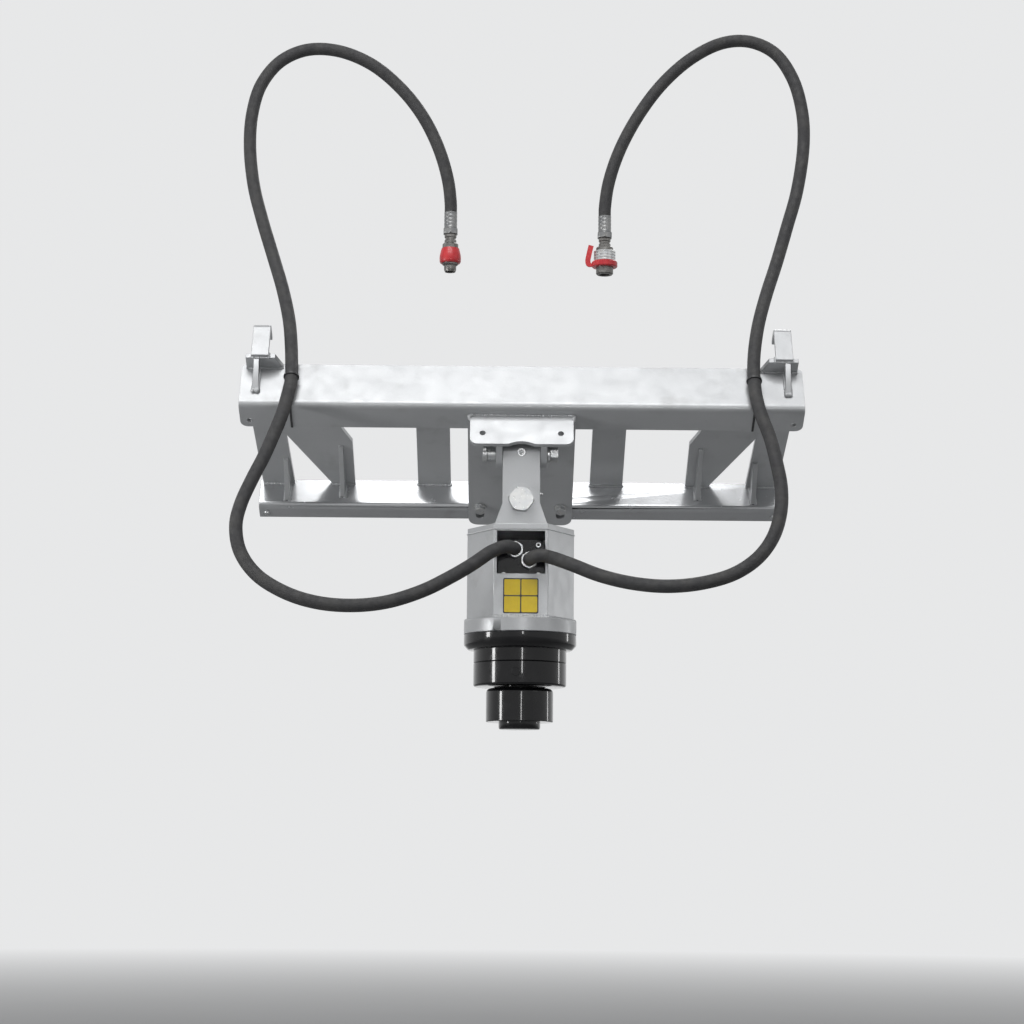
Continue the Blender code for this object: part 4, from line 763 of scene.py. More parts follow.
profile = [*grip, (collar_inner, collar_low), (collar_inner, collar_top)]
collar = lathed("right_sliding_collar", profile, centre, zinc)
fitted(collar, "sleeve", "zinc", "coupler_sleeve")
band_top = collar_low - FIT_GAP
band_low = band_top - 0.011
band_outer = collar_inner + 0.008
profile = [
    (collar_inner, band_top),
    (band_outer - 0.0015, band_top),
    (band_outer, band_top - 0.0015),
    (band_outer, band_low + 0.0015),
    (band_outer - 0.0015, band_low),
    (collar_inner, band_low),
]
band = lathed("cap_band", profile, centre, red_plastic)
# The cap's flat lid hangs open on its hinge beside the collar.
LID_HALF_WIDTH = 0.0016
LID_HALF_WALL = 0.0050
LID_FIRST_HALF_WALL = 0.0026
LID_SWELL = 0.0004
LID_SWELL_ROWS = 6
lid_foot = Vector((centre[0] - band_outer + 0.002, centre[1], band_low + 0.004))
lid_points = [
    lid_foot,
    lid_foot + Vector((-0.0075, 0, 0.0015)),
    lid_foot + Vector((-0.0095, 0, 0.0080)),
    lid_foot + Vector((-0.0074, 0, 0.0210)),
    lid_foot + Vector((-0.0032, 0, 0.0390)),
]
lid_line = smooth_path(
    lid_points,
    lid_points[0] + Vector((0.006, 0, 0)),
    lid_points[-1] + Vector((0.002, 0, 0.006)),
    0.0015,
)
work = bmesh.new()
rows = []
for index, place in enumerate(lid_line):
    before = lid_line[max(index - 1, 0)]
    after = lid_line[min(index + 1, len(lid_line) - 1)]
    out = (after - before).normalized().cross(Vector((0, 1, 0))).normalized()
    half_wall = LID_HALF_WALL
    if index <= LID_SWELL_ROWS:
        half_wall = LID_FIRST_HALF_WALL + LID_SWELL * index
    row = []
    for a, b in ((-1, -1), (1, -1), (1, 1), (-1, 1)):
        corner = place + Vector((0, 1, 0)) * LID_HALF_WIDTH * a + out * half_wall * b
        row.append(work.verts.new(corner))
    rows.append(row)
skinned(work, rows)
work.faces.new(rows[0])
work.faces.new(rows[-1])
bmesh.ops.recalc_face_normals(work, faces=work.faces)
lid = finished("cap_lid", work, red_plastic)
cap = fitted(joined("right_dust_cap", band, lid), "hitch", "red_rubber", "right_dust_ring")
end_pieces["right"] += [socket, collar, cap]

for side, (over, upper) in hose_ends.items():
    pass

# ---------------------------------------------------------------------------
# The hitch frame is bent and flame-cut steel plate: a long angle beam on top, a
# smaller angle bar below, uprights between them, and a hook on each end. It is
# welded and sprayed with silver-grey paint.

EDGE_ROUND = 0.0010
SAME_POINT = 0.00002
SAME_PLANE = radians(0.6)


def silver_finish(name, metallic, low_roughness, high_roughness, waviness):
    """Sprayed silver-grey paint: fine flakes, faint patches and grime, a slightly wavy coat."""
    material, shader = new_material(name, (0.54, 0.55, 0.56), low_roughness, metallic)
    shader.inputs["Coat Weight"].default_value = 0.12
    shader.inputs["Coat Roughness"].default_value = 0.25
    tree = material.node_tree
    patches = spread(tree, cloud(tree, 7, 3), 0.0, 1.0, 0.30, 0.74)
    colour = blended(tree, patches, (0.47, 0.48, 0.49), (0.51, 0.52, 0.53))
    flakes = spread(tree, cloud(tree, 1500, 2), 0.0, 1.0, 0.35, 0.65)
    flaked = blended(tree, flakes, (0.86, 0.86, 0.86), (1.0, 1.0, 1.0))
    tinted = tree.nodes.new("ShaderNodeMix")
    tinted.data_type = "RGBA"
    tinted.blend_type = "MULTIPLY"
    tinted.inputs[0].default_value = 1.0
    wire(tree, colour, tinted.inputs[6])
    wire(tree, flaked, tinted.inputs[7])
    grime = spread(tree, cloud(tree, 24, 8), 0.0, 0.35, 0.58, 0.80)
    grimy = blended(tree, grime, tinted.outputs[2], (0.24, 0.235, 0.23))
    wire(tree, grimy, shader.inputs["Base Color"])
    roughened(shader, 40, 5, low_roughness, high_roughness)
    raised(shader, ((14, 2), waviness, 0.0016), ((330, 2), 0.16, 0.0004))
    return material


frame_paint = silver_finish("silver_paint", 0.42, 0.30, 0.46, 0.05)
bar_paint = silver_finish("silver_paint_on_bar", 0.62, 0.18, 0.28, 0.02)


def made_plain(piece):
    """Turns the result of a piece's modifiers into its own plain mesh."""
    evaluated = piece.evaluated_get(bpy.context.evaluated_depsgraph_get())
    mesh = bpy.data.meshes.new_from_object(evaluated)
    piece.modifiers.clear()
    piece.data = mesh


def softened(node, body, slot, material, edge=EDGE_ROUND, flat_angle=32, segments=2):
    """A node's solid merged into one mesh, with small rounded edges."""
    work = bmesh.new()
    work.from_mesh(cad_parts[node].data)
    bmesh.ops.remove_doubles(work, verts=work.verts, dist=SAME_POINT)
    bmesh.ops.dissolve_limit(work, angle_limit=SAME_PLANE, verts=work.verts, edges=work.edges)
    piece = finished(f"{node}_finished", work, material)
    bevel = piece.modifiers.new("rounded_edges", "BEVEL")
    bevel.width = edge
    bevel.segments = segments
    bevel.limit_method = "ANGLE"
    bevel.angle_limit = radians(flat_angle)
    bevel.use_clamp_overlap = True
    bevel.harden_normals = True
    made_plain(piece)
    return fitted(piece, body, slot, node)


FRAME_NODES = ["top_beam", "bottom_bar", "back_plate", "cover_plate"]
for side in ("left", "right"):
    for part in ("side_plate", "post", "hook_plate", "hook_strap", "pin_lug"):
        FRAME_NODES.append(f"{side}_{part}")
for node in FRAME_NODES:
    paint = bar_paint if node == "bottom_bar" else frame_paint
    softened(node, "hitch", "frame_paint", paint)

tie_plastic, tie_shader = new_material("tie_plastic", (0.018, 0.018, 0.019), 0.42, 0.0)
toned(tie_shader, 200, 3, (0.014, 0.014, 0.015), (0.040, 0.040, 0.041))
raised(tie_shader, ((900, 2), 0.3, 0.0002))
for side in ("left", "right"):
    softened(f"{side}_hose_tie", "hitch", "tie_plastic", tie_plastic, edge=0.0003)

# ---------------------------------------------------------------------------
# Fillet welds hold the plates together. Each is a run of overlapping ripples
# laid by hand, a little uneven, and painted over with the frame.

BEAM_REAR_Y = -0.0305
BEAM_FRONT_Y = -0.1295
BEAM_TOP_Z = -0.0035
BEAM_UNDER_Z = -0.0115
BAR_TOP_Z = -0.2985
UPRIGHT_FRONT_Y = -0.0755
POST_X = (0.1335, 0.1965)
INNER_FOOT_X = (0.319, 0.360)
OUTER_FOOT_X = (0.435, 0.492)
SIDE_TOP_X = (0.352, 0.504)
RIB_X = (0.340, 0.446)
RIB_REACH = (0.032, 0.041)
RIB_HALF_WALL = 0.0045
HOOK_X = 0.4795
HOOK_FOOT_X = (HOOK_X - 0.040, HOOK_X + 0.0255)
HOOK_PLATE_FRONT_Y = BEAM_REAR_Y - 0.010
HOOK_RIB_X = 0.486
HOOK_RIB_HALF_WALL = 0.005
HOOK_RIB_REACH = 0.051
STRAP_HALF_WIDTH = 0.016
STRAP_WELD_Z = 0.0255
PLATE_FRONT_Y = -0.1398
COVER_WELD_HALF = 0.093
COVER_TOP_Z = -0.0265
COVER_UNDER_Z = -0.0345
LUG_OUTER_X = 0.0465
LUG_LOW_Z = -0.117
LUG_REACH = 0.050
TOE_Y = HOOK_PLATE_FRONT_Y - 0.055
TOE_Z = BEAM_TOP_Z + 0.001
TOE_HALF = 0.004
RIPPLE_SPACING = 0.0022
RIPPLE_SIZES = (0.82, 1.14)
RIPPLE_SHAPE = (1.0, 1.0, 0.72)
WELD_WIDTH = 0.0062
WELD_SEED = 7


def geometry_tree(name, result, *inputs):
    """A geometry tree that ends by making its copies real and finishing them.

    Each input is a name, a kind and, where it has one, a value to start from.
    Back come the tree, its entry, the node that copies, and the identifiers.
    """
    tree = bpy.data.node_groups.new(name, "GeometryNodeTree")
    identifiers = {}
    for label, kind, *value in inputs:
        socket = tree.interface.new_socket(name=label, in_out="INPUT", socket_type=kind)
        if value:
            socket.default_value = value[0]
        identifiers[label] = socket.identifier
    tree.interface.new_socket(name=result, in_out="OUTPUT", socket_type="NodeSocketGeometry")
    entry = tree.nodes.new("NodeGroupInput")
    copies = tree.nodes.new("GeometryNodeInstanceOnPoints")
    real = tree.nodes.new("GeometryNodeRealizeInstances")
    set_material = tree.nodes.new("GeometryNodeSetMaterial")
    wire(tree, copies.outputs[0], real.inputs[0])
    wire(tree, real.outputs[0], set_material.inputs["Geometry"])
    wire(tree, entry.outputs["Finish"], set_material.inputs["Material"])
    wire(tree, set_material.outputs[0], tree.nodes.new("NodeGroupOutput").inputs[0])
    return tree, entry, copies, identifiers


def grown(name, work, tree, inputs):
    """A mesh put through a geometry tree and kept as plain mesh."""
    piece = finished(name, work)
    modifier = piece.modifiers.new("made", "NODES")
    modifier.node_group = tree
    for identifier, value in inputs.items():
        modifier[identifier] = value
    made_plain(piece)
    piece.data.shade_smooth()
    return piece


weld_tree, weld_entry, ripples, weld_ids = geometry_tree(
    "weld_bead",
    "Weld",
    ("Line", "NodeSocketGeometry"),
    ("Bead width", "NodeSocketFloat", WELD_WIDTH),
    ("Ripple spacing", "NodeSocketFloat", RIPPLE_SPACING),
    ("Seed", "NodeSocketInt", WELD_SEED),
    ("Finish", "NodeSocketMaterial"),
)
to_curve = weld_tree.nodes.new("GeometryNodeMeshToCurve")
resample = weld_tree.nodes.new("GeometryNodeResampleCurve")
resample.mode = "LENGTH"
tangent = weld_tree.nodes.new("GeometryNodeInputTangent")
align = weld_tree.nodes.new("FunctionNodeAlignRotationToVector")
align.axis = "Z"
ripple = weld_tree.nodes.new("GeometryNodeMeshUVSphere")
ripple.inputs["Segments"].default_value = 10
ripple.inputs["Rings"].default_value = 6
ripple.inputs["Radius"].default_value = 0.5
uneven = weld_tree.nodes.new("FunctionNodeRandomValue")
uneven.inputs[2].default_value, uneven.inputs[3].default_value = RIPPLE_SIZES
size = weld_tree.nodes.new("ShaderNodeVectorMath")
size.operation = "SCALE"
size.inputs[0].default_value = RIPPLE_SHAPE
times = weld_tree.nodes.new("ShaderNodeMath")
times.operation = "MULTIPLY"
for output, socket in (
    (weld_entry.outputs["Line"], to_curve.inputs[0]),
    (to_curve.outputs[0], resample.inputs["Curve"]),
    (weld_entry.outputs["Ripple spacing"], resample.inputs["Length"]),
    (resample.outputs[0], ripples.inputs["Points"]),
    (ripple.outputs["Mesh"], ripples.inputs["Instance"]),
    (tangent.outputs[0], align.inputs["Vector"]),
    (align.outputs[0], ripples.inputs["Rotation"]),
    (weld_entry.outputs["Seed"], uneven.inputs["Seed"]),
    (uneven.outputs[1], times.inputs[0]),
    (weld_entry.outputs["Bead width"], times.inputs[1]),
    (times.outputs[0], size.inputs["Scale"]),
    (size.outputs[0], ripples.inputs["Scale"]),
):
    wire(weld_tree, output, socket)


def weld_runs(name, runs, body, width=WELD_WIDTH, seed=WELD_SEED):
    """Weld beads along straight or bent runs of points."""
    work = bmesh.new()
    for run in runs:
        verts = [work.verts.new(place) for place in run]
        for near, far in zip(verts, verts[1:]):
            work.edges.new((near, far))
    inputs = {
        weld_ids["Bead width"]: width,
        weld_ids["Seed"]: seed,
        weld_ids["Finish"]: frame_paint,
    }
    fitted(grown(name, work, weld_tree, inputs), body, "frame_paint")


def frame_run(hand, *places):
    """A run of places on the tilted frame, on one side of its middle."""
    return [tilt @ Vector((hand * x, y, z)) for x, y, z in places]


def cross_run(near, far, y, z):
    """The two ends of a run straight across the frame."""
    return (near, y, z), (far, y, z)


side_runs = [
    cross_run(*POST_X, UPRIGHT_FRONT_Y, BAR_TOP_Z),
    cross_run(*POST_X, UPRIGHT_FRONT_Y, BEAM_UNDER_Z),
    cross_run(*INNER_FOOT_X, UPRIGHT_FRONT_Y, BAR_TOP_Z),
    cross_run(*OUTER_FOOT_X, UPRIGHT_FRONT_Y, BAR_TOP_Z),
    cross_run(*SIDE_TOP_X, UPRIGHT_FRONT_Y, BEAM_UNDER_Z),
]
for rib, reach in zip(RIB_X, RIB_REACH):
    for x in (rib - RIB_HALF_WALL, rib + RIB_HALF_WALL):
        rib_toe = (x, UPRIGHT_FRONT_Y - reach, BAR_TOP_Z)
        side_runs.append((rib_toe, (x, UPRIGHT_FRONT_Y, BAR_TOP_Z)))
side_runs.append(cross_run(*HOOK_FOOT_X, HOOK_PLATE_FRONT_Y, BEAM_TOP_Z))
for x in (HOOK_RIB_X - HOOK_RIB_HALF_WALL, HOOK_RIB_X + HOOK_RIB_HALF_WALL):
    rib_toe = (x, HOOK_PLATE_FRONT_Y - HOOK_RIB_REACH, BEAM_TOP_Z)
    side_runs.append((rib_toe, (x, HOOK_PLATE_FRONT_Y, BEAM_TOP_Z)))
strap_near = HOOK_X - STRAP_HALF_WIDTH
strap_far = HOOK_X + STRAP_HALF_WIDTH
lug_corner = (LUG_OUTER_X, PLATE_FRONT_Y, COVER_UNDER_Z)
side_runs += [
    (
        (strap_near, HOOK_PLATE_FRONT_Y, STRAP_WELD_Z),
        (strap_near, BEAM_REAR_Y, STRAP_WELD_Z),
    ),
    cross_run(strap_near, strap_far, HOOK_PLATE_FRONT_Y, STRAP_WELD_Z),
    ((LUG_OUTER_X, PLATE_FRONT_Y, LUG_LOW_Z), lug_corner),
    (lug_corner, (LUG_OUTER_X, PLATE_FRONT_Y - LUG_REACH, COVER_UNDER_Z)),
]
frame_runs = [frame_run(hand, *run) for hand in (-1, 1) for run in side_runs]
cover_run = cross_run(-COVER_WELD_HALF, COVER_WELD_HALF, BEAM_FRONT_Y, COVER_TOP_Z)
frame_runs.append(frame_run(1, *cover_run))
weld_runs("frame_welds", frame_runs, "hitch")
curls = []
toe_spots = []
for hand in (-1, 1):
    curls.append(
        frame_run(
            hand,
            (0.0935, BEAM_FRONT_Y - 0.010, COVER_TOP_Z - 0.003),
            (0.0965, BEAM_FRONT_Y - 0.001, COVER_TOP_Z - 0.001),
            (0.089, BEAM_FRONT_Y, COVER_TOP_Z + 0.001),
        )
    )
    toe_x = hand * HOOK_RIB_X
    toe_spots.append(frame_run(1, *cross_run(toe_x - TOE_HALF, toe_x + TOE_HALF, TOE_Y, TOE_Z)))
weld_runs("cover_end_welds", curls, "hitch", width=0.0075, seed=11)
weld_runs("rib_toe_welds", toe_spots, "hitch", width=0.013, seed=13)

# ---------------------------------------------------------------------------
# Hexagon bolts, nuts and washers of zinc-plated steel clamp the bracket to the
# bar and hold the cross pin. The pin passes the lugs and the link; the link
# block turns on bronze bushes that are pressed into it.

for side in ("left", "right"):
    softened(f"{side}_bracket_bolt", "hitch", "zinc", zinc, edge=0.0007)
for node in ("swing_pin", "swing_pin_nut", "swing_pin_spacer", "swing_pin_washer"):
    softened(node, "hitch", "zinc", zinc, edge=0.0008, segments=3)

softened("swing_link", "link", "frame_paint", frame_paint, edge=0.0015, segments=3)

bronze, bronze_shader = new_material("bronze", (0.55, 0.36, 0.15), 0.34, 1.0)
toned(bronze_shader, 80, 4, (0.46, 0.29, 0.11), (0.63, 0.43, 0.20))
roughened(bronze_shader, 300, 3, 0.25, 0.45)
for node in ("pin_bush", "sway_bush"):
    softened(node, "link", "bronze", bronze, edge=0.0004)

# Small round-headed bolts close the bar's ends; a grease nipple feeds each bearing.
BAR_BOLT_X = 0.4855
BAR_BOLT_Z = BAR_TOP_Z - 0.022
BAR_BOLT_RADIUS = 0.0058
BAR_BOLT_HEAD = 0.0052
DOME_STEPS = 8
SUNK = 0.001
NIPPLE_PROFILE = [
    (0, 0.0060),
    (0.0012, 0.0060),
    (0.0021, 0.0048),
    (0.0021, 0.0040),
    (0.0014, 0.0030),
    (0.0014, 0.0026),
    (0.0036, 0.0022),
    (0.0036, -SUNK),
    (0, -SUNK),
]
SEAT_PROFILE = [(0.0040, 0.0012), (0.0078, 0.0012), (0.0078, -0.0005), (0.0040, -0.0005)]
FRONTWARD = (0, -1, 0)


def turned_to(piece, place, direction):
    """Moves a piece made upright at the origin so that its top looks along direction."""
    spin = Vector((0, 0, 1)).rotation_difference(Vector(direction)).to_matrix().to_4x4()
    piece.data.transform(Matrix.Translation(place) @ spin)
    return piece


def edged(profile, width):
    """The profile with each of its corners cut by a small chamfer."""
    result = []
    closed = profile[0][0] > 0
    count = len(profile)
    for index, point in enumerate(profile):
        if not closed and index in (0, count - 1):
            result.append(point)
            continue
        here = Vector(point)
        back = Vector(profile[index - 1]) - here
        on = Vector(profile[(index + 1) % count]) - here
        for arm in (back, on):
            reach = min(width, arm.length * 0.4)
            place = here + arm.normalized() * reach
            result.append((place.x, place.y))
    return result


dome = [(0, BAR_BOLT_HEAD)]
for step in range(1, DOME_STEPS + 1):
    angle = pi / 2 * step / DOME_STEPS
    dome.append((BAR_BOLT_RADIUS * sin(angle), BAR_BOLT_HEAD * cos(angle)))
dome += [(BAR_BOLT_RADIUS, -SUNK), (0, -SUNK)]
for side, hand in (("left", -1), ("right", 1)):
    bolt = lathed(f"{side}_bar_end_bolt", dome, (0, 0), zinc, sides=32)
    bolt_place = tilt @ Vector((hand * BAR_BOLT_X, BEAM_FRONT_Y, BAR_BOLT_Z))
    fitted(turned_to(bolt, bolt_place, -rearward), "hitch", "zinc")

link_front = PIN + Vector((0, -0.025, 0))
seat = lathed("grease_seat", edged(SEAT_PROFILE, 0.0004), (0, 0), zinc, sides=40)
fitted(turned_to(seat, link_front, FRONTWARD), "link", "zinc")
for name, place, direction in (
    ("front_grease_nipple", link_front, FRONTWARD),
    ("side_grease_nipple", PIN + Vector((0.034, 0, -0.073)), (1, 0, 0)),
):
    nipple = lathed(name, NIPPLE_PROFILE, (0, 0), zinc, sides=20)
    fitted(turned_to(nipple, place, direction), "link", "zinc")

# ---------------------------------------------------------------------------
# The drive hangs from the link on two ears and one thick bolt, and swings from
# side to side on it. The bolt and its nut are bright zinc-plated steel.

SWAY_DROP = 0.089
SWAY_ACROSS = 0.041
EAR_FACE = 0.0375
HEAD_HEIGHT = 0.017
HEAD_CHAMFER = 0.0024
HEAD_TURN = radians(22)
NUT_HEIGHT = 0.022
SHANK_RADIUS = 0.0135
SHANK_TOP = EAR_FACE + 0.001
SHANK_END = -(EAR_FACE + NUT_HEIGHT + 0.004)
SHANK_PROFILE = [
    (0, SHANK_TOP),
    (SHANK_RADIUS, SHANK_TOP),
    (SHANK_RADIUS, SHANK_END),
    (0, SHANK_END),
]

for node in ("front_ear", "rear_ear", "housing_top_plate", "drive_housing"):
    softened(node, "drive", "frame_paint", frame_paint, edge=0.0013, segments=3)
sway_place = PIN + Vector((0, 0, -SWAY_DROP))
head = hexagon_head(
    "sway_head",
    (0, 0),
    SWAY_ACROSS,
    EAR_FACE + FIT_GAP,
    EAR_FACE + HEAD_HEIGHT,
    HEAD_CHAMFER,
    zinc,
)
head.data.transform(Matrix.Rotation(HEAD_TURN, 4, "Z"))
shank = lathed("sway_shank", edged(SHANK_PROFILE, 0.0015), (0, 0), zinc)
sway_bolt = joined("sway_bolt_finished", head, shank)
fitted(turned_to(sway_bolt, sway_place, FRONTWARD), "drive", "zinc", "sway_bolt")
sway_nut = hexagon_head(
    "sway_nut_finished",
    (0, 0),
    SWAY_ACROSS,
    -EAR_FACE - NUT_HEIGHT,
    -EAR_FACE - FIT_GAP,
    HEAD_CHAMFER,
    zinc,
    bore=SHANK_RADIUS + FIT_GAP,
)
fitted(turned_to(sway_nut, sway_place, FRONTWARD), "drive", "zinc", "sway_nut")

# ---------------------------------------------------------------------------
# The housing is a six-sided tube of bent plate with a window for the ports. Its
# front has a yellow film label of four plain panels with black edges, stuck on
# below the window, and welds run round its top and foot.

HOUSING_CORNER = 0.097
HOUSING_TOP = -0.1483
HOUSING_LOW = -0.3063
HOUSING_FRONT = HOUSING_CORNER * cos(pi / 6)
TOP_WELD_SHARE = 0.998
EAR_HALF_WIDTH = 0.049
EAR_FOOT = -0.138
WINDOW_LOW = -0.2278
LABEL_SIDE = 0.0630
LABEL_TOP = WINDOW_LOW - 0.0085
LABEL_LIFT = 0.00005
LABEL_WALL = 0.0003
LABEL_GAP = 0.0022
PANEL_LIFT = 0.0001
CORNER_STEPS = 4

foot_run = []
top_run = []
for step in range(7):
    angle = pi / 3 * step
    corner = Vector((HOUSING_CORNER * cos(angle), HOUSING_CORNER * sin(angle), 0))
    foot_run.append(PIN + corner + Vector((0, 0, HOUSING_LOW)))
    top_run.append(PIN + corner * TOP_WELD_SHARE + Vector((0, 0, HOUSING_TOP)))
ear_runs = []
for y in (-EAR_FACE, EAR_FACE):
    ear_runs.append([PIN + Vector((x, y, EAR_FOOT)) for x in (-EAR_HALF_WIDTH, EAR_HALF_WIDTH)])
weld_runs("housing_foot_weld", [foot_run], "drive", width=0.0090, seed=3)
weld_runs("housing_top_weld", [top_run], "drive", width=0.0030, seed=4)
weld_runs("ear_welds", ear_runs, "drive", width=0.0070, seed=5)

label_black, edge_shader = new_material("label_black", (0.015, 0.015, 0.015), 0.35, 0.0)
toned(edge_shader, 220, 4, (0.014, 0.014, 0.014), (0.06, 0.06, 0.06), 0.5, 0.8)
label_yellow, yellow_shader = new_material("label_yellow", (0.86, 0.62, 0.01), 0.33, 0.0)
toned(yellow_shader, 120, 5, (0.83, 0.60, 0.010), (0.78, 0.55, 0.010), 0.36, 0.74)
roughened(yellow_shader, 400, 3, 0.26, 0.42)


def flat_panel(work, x0, x1, z0, z1, y0, y1, corner, material_index):
    """A thin upright panel with rounded corners, from y0 at the back to y1 at the front."""
    outline = []
    for centre_x, centre_z, first in (
        (x1 - corner, z1 - corner, 0),
        (x0 + corner, z1 - corner, pi / 2),
        (x0 + corner, z0 + corner, pi),
        (x1 - corner, z0 + corner, 3 * pi / 2),
    ):
        for step in range(CORNER_STEPS + 1):
            angle = first + pi / 2 * step / CORNER_STEPS
            outline.append((centre_x + corner * cos(angle), centre_z + corner * sin(angle)))
    back = [work.verts.new((x, y0, z)) for x, z in outline]
    front = [work.verts.new((x, y1, z)) for x, z in outline]
    faces = [work.faces.new(back), work.faces.new(list(reversed(front)))]
    for step in range(len(outline)):
        after = (step + 1) % len(outline)
        faces.append(work.faces.new((back[after], back[step], front[step], front[after])))
    for face in faces:
        face.material_index = material_index


work = bmesh.new()
label_back = PIN.y - HOUSING_FRONT - LABEL_LIFT
label_face = label_back - LABEL_WALL
label_top = PIN.z + LABEL_TOP
half = LABEL_SIDE / 2
flat_panel(work, -half, half, label_top - LABEL_SIDE, label_top, label_back, label_face, 0.003, 0)
panel = (LABEL_SIDE - 3 * LABEL_GAP) / 2
panel_back = label_face + PANEL_LIFT
panel_face = label_face - PANEL_LIFT
for column in range(2):
    for row in range(2):
        x0 = -half + LABEL_GAP + column * (panel + LABEL_GAP)
        z1 = label_top - LABEL_GAP - row * (panel + LABEL_GAP)
        flat_panel(work, x0, x0 + panel, z1 - panel, z1, panel_back, panel_face, 0.002, 1)
bmesh.ops.recalc_face_normals(work, faces=work.faces)
label = finished("yellow_label", work, label_black, label_yellow)
fitted(label, "drive", "frame_paint")

# ---------------------------------------------------------------------------
# Below the housing a turned steel ring, painted silver, carries the planetary
# gear case. The case is two cast-iron shells in gloss black: the flanged one
# holds the ring gear and the lower one the output bearing.

RING_RADIUS = 0.1015
RING_BORE = 0.060
RING_TOP = -0.3066
RING_LOW = -0.3311
RING_SIDES = 144
NOTCH_ANGLE = radians(246)
NOTCH_SIZE = (0.010, 0.014, 0.008)

black_paint, black_shader = new_material("black_gloss_paint", (0.012, 0.012, 0.013), 0.16, 0.0)
black_shader.inputs["Coat Weight"].default_value = 0.9
black_shader.inputs["Specular IOR Level"].default_value = 0.12
black_shader.inputs["Coat Roughness"].default_value = 0.04
black_shader.inputs["Coat IOR"].default_value = 1.34
toned(black_shader, 30, 6, (0.004, 0.004, 0.005), (0.014, 0.014, 0.015), 0.46, 0.78)
roughened(black_shader, 70, 5, 0.12, 0.30)
raised(black_shader, ((260, 2), 0.10, 0.0004))


def on_drive(name, profile, material, sides=RING_SIDES):
    """A piece turned on the drive's axis, its heights measured from the pin."""
    lifted = [(radius, height + PIN.z) for radius, height in profile]
    return lathed(name, lifted, (PIN.x, PIN.y), material, sides=sides)


profile = [
    (RING_BORE, RING_TOP),
    (RING_RADIUS, RING_TOP),
    (RING_RADIUS, RING_LOW),
    (RING_BORE, RING_LOW),
]
ring = on_drive("ring_flange_finished", edged(profile, 0.0012), frame_paint)
notch_work = bmesh.new()
bmesh.ops.create_cube(notch_work, size=1)
ring_foot = Matrix.Translation((PIN.x, PIN.y, PIN.z + RING_LOW))
notch_turn = Matrix.Rotation(NOTCH_ANGLE, 4, "Z")
notch_out = Matrix.Translation((RING_RADIUS, 0, 0))
notch_place = ring_foot @ notch_turn @ notch_out @ Matrix.Diagonal((*NOTCH_SIZE, 1))
bmesh.ops.transform(notch_work, matrix=notch_place, verts=notch_work.verts)
notch = finished("notch_cutter", notch_work)
notched = ring.modifiers.new("notch", "BOOLEAN")
notched.operation = "DIFFERENCE"
notched.solver = "EXACT"
notched.object = notch
made_plain(ring)
bpy.data.objects.remove(notch)
fitted(ring, "drive", "frame_paint", "ring_flange")

CASE_RADIUS = 0.0838
CASE_INNER = 0.0765
CASE_BORE = 0.030
CASE_TOP = -0.3314
CASE_SEAM = -0.3821
FLANGE_EDGE = CASE_TOP - 0.019
FLANGE_LOW = CASE_TOP - 0.027
CASE_CEILING = CASE_TOP - 0.011
OUTPUT_TOP = -0.3824
OUTPUT_LOW = -0.4244
OUTPUT_INNER = 0.058
OUTPUT_BORE = 0.047
OUTPUT_FLOOR = OUTPUT_LOW + 0.0095
OUTPUT_ROUND = 0.004
CASE_EDGE = 0.0011
profile = [
    (CASE_BORE, CASE_TOP),
    (RING_RADIUS, CASE_TOP),
    (RING_RADIUS, FLANGE_EDGE),
    (RING_RADIUS - 0.008, FLANGE_LOW),
    (CASE_RADIUS, FLANGE_LOW),
    (CASE_RADIUS, CASE_SEAM),
    (CASE_INNER, CASE_SEAM),
    (CASE_INNER, CASE_CEILING),
    (CASE_BORE, CASE_CEILING),
]
case = on_drive("gear_case_upper", edged(profile, CASE_EDGE), black_paint)
fitted(case, "drive", "black_paint", "ring_gear_case")
profile = [
    (OUTPUT_INNER, OUTPUT_TOP),
    (CASE_RADIUS - CASE_EDGE, OUTPUT_TOP),
    (CASE_RADIUS, OUTPUT_TOP - CASE_EDGE),
    (CASE_RADIUS, OUTPUT_LOW + OUTPUT_ROUND),
]
for step in range(1, 7):
    angle = pi / 2 * step / 6
    radius = CASE_RADIUS - OUTPUT_ROUND + OUTPUT_ROUND * cos(angle)
    profile.append((radius, OUTPUT_LOW + OUTPUT_ROUND - OUTPUT_ROUND * sin(angle)))
profile += [(OUTPUT_BORE, OUTPUT_LOW), (OUTPUT_BORE, OUTPUT_FLOOR), (OUTPUT_INNER, OUTPUT_FLOOR)]
lower_case = on_drive("gear_case_lower", profile, black_paint)
fitted(lower_case, "drive", "black_paint", "output_case")

LEVEL_PLUG_ANGLE = atan2(-0.0838, -0.008)
LEVEL_PLUG_Z = -0.4021
plug_profile = edged([(0, 0.0012), (0.0075, 0.0012), (0.0075, -0.002), (0, -0.002)], 0.0006)
level_plug = lathed("level_plug", plug_profile, (0, 0), black_paint, sides=32)
plug_socket = hexagon_head("plug_socket", (0, 0), 0.0060, -0.001, 0.0016, 0.0002, black_paint)
level_plug = joined("oil_level_plug", level_plug, plug_socket)
plug_out = Vector((cos(LEVEL_PLUG_ANGLE), sin(LEVEL_PLUG_ANGLE), 0))
plug_place = PIN + plug_out * (CASE_RADIUS - 0.0001) + Vector((0, 0, LEVEL_PLUG_Z))
fitted(turned_to(level_plug, plug_place, plug_out), "drive", "black_paint")

# ---------------------------------------------------------------------------
# The output shaft is one forging with its hub: a thick round hub that takes the
# auger's socket, a short stub below it, all gloss black like the gear case. It
# turns in the case on a bearing behind a rubber seal.

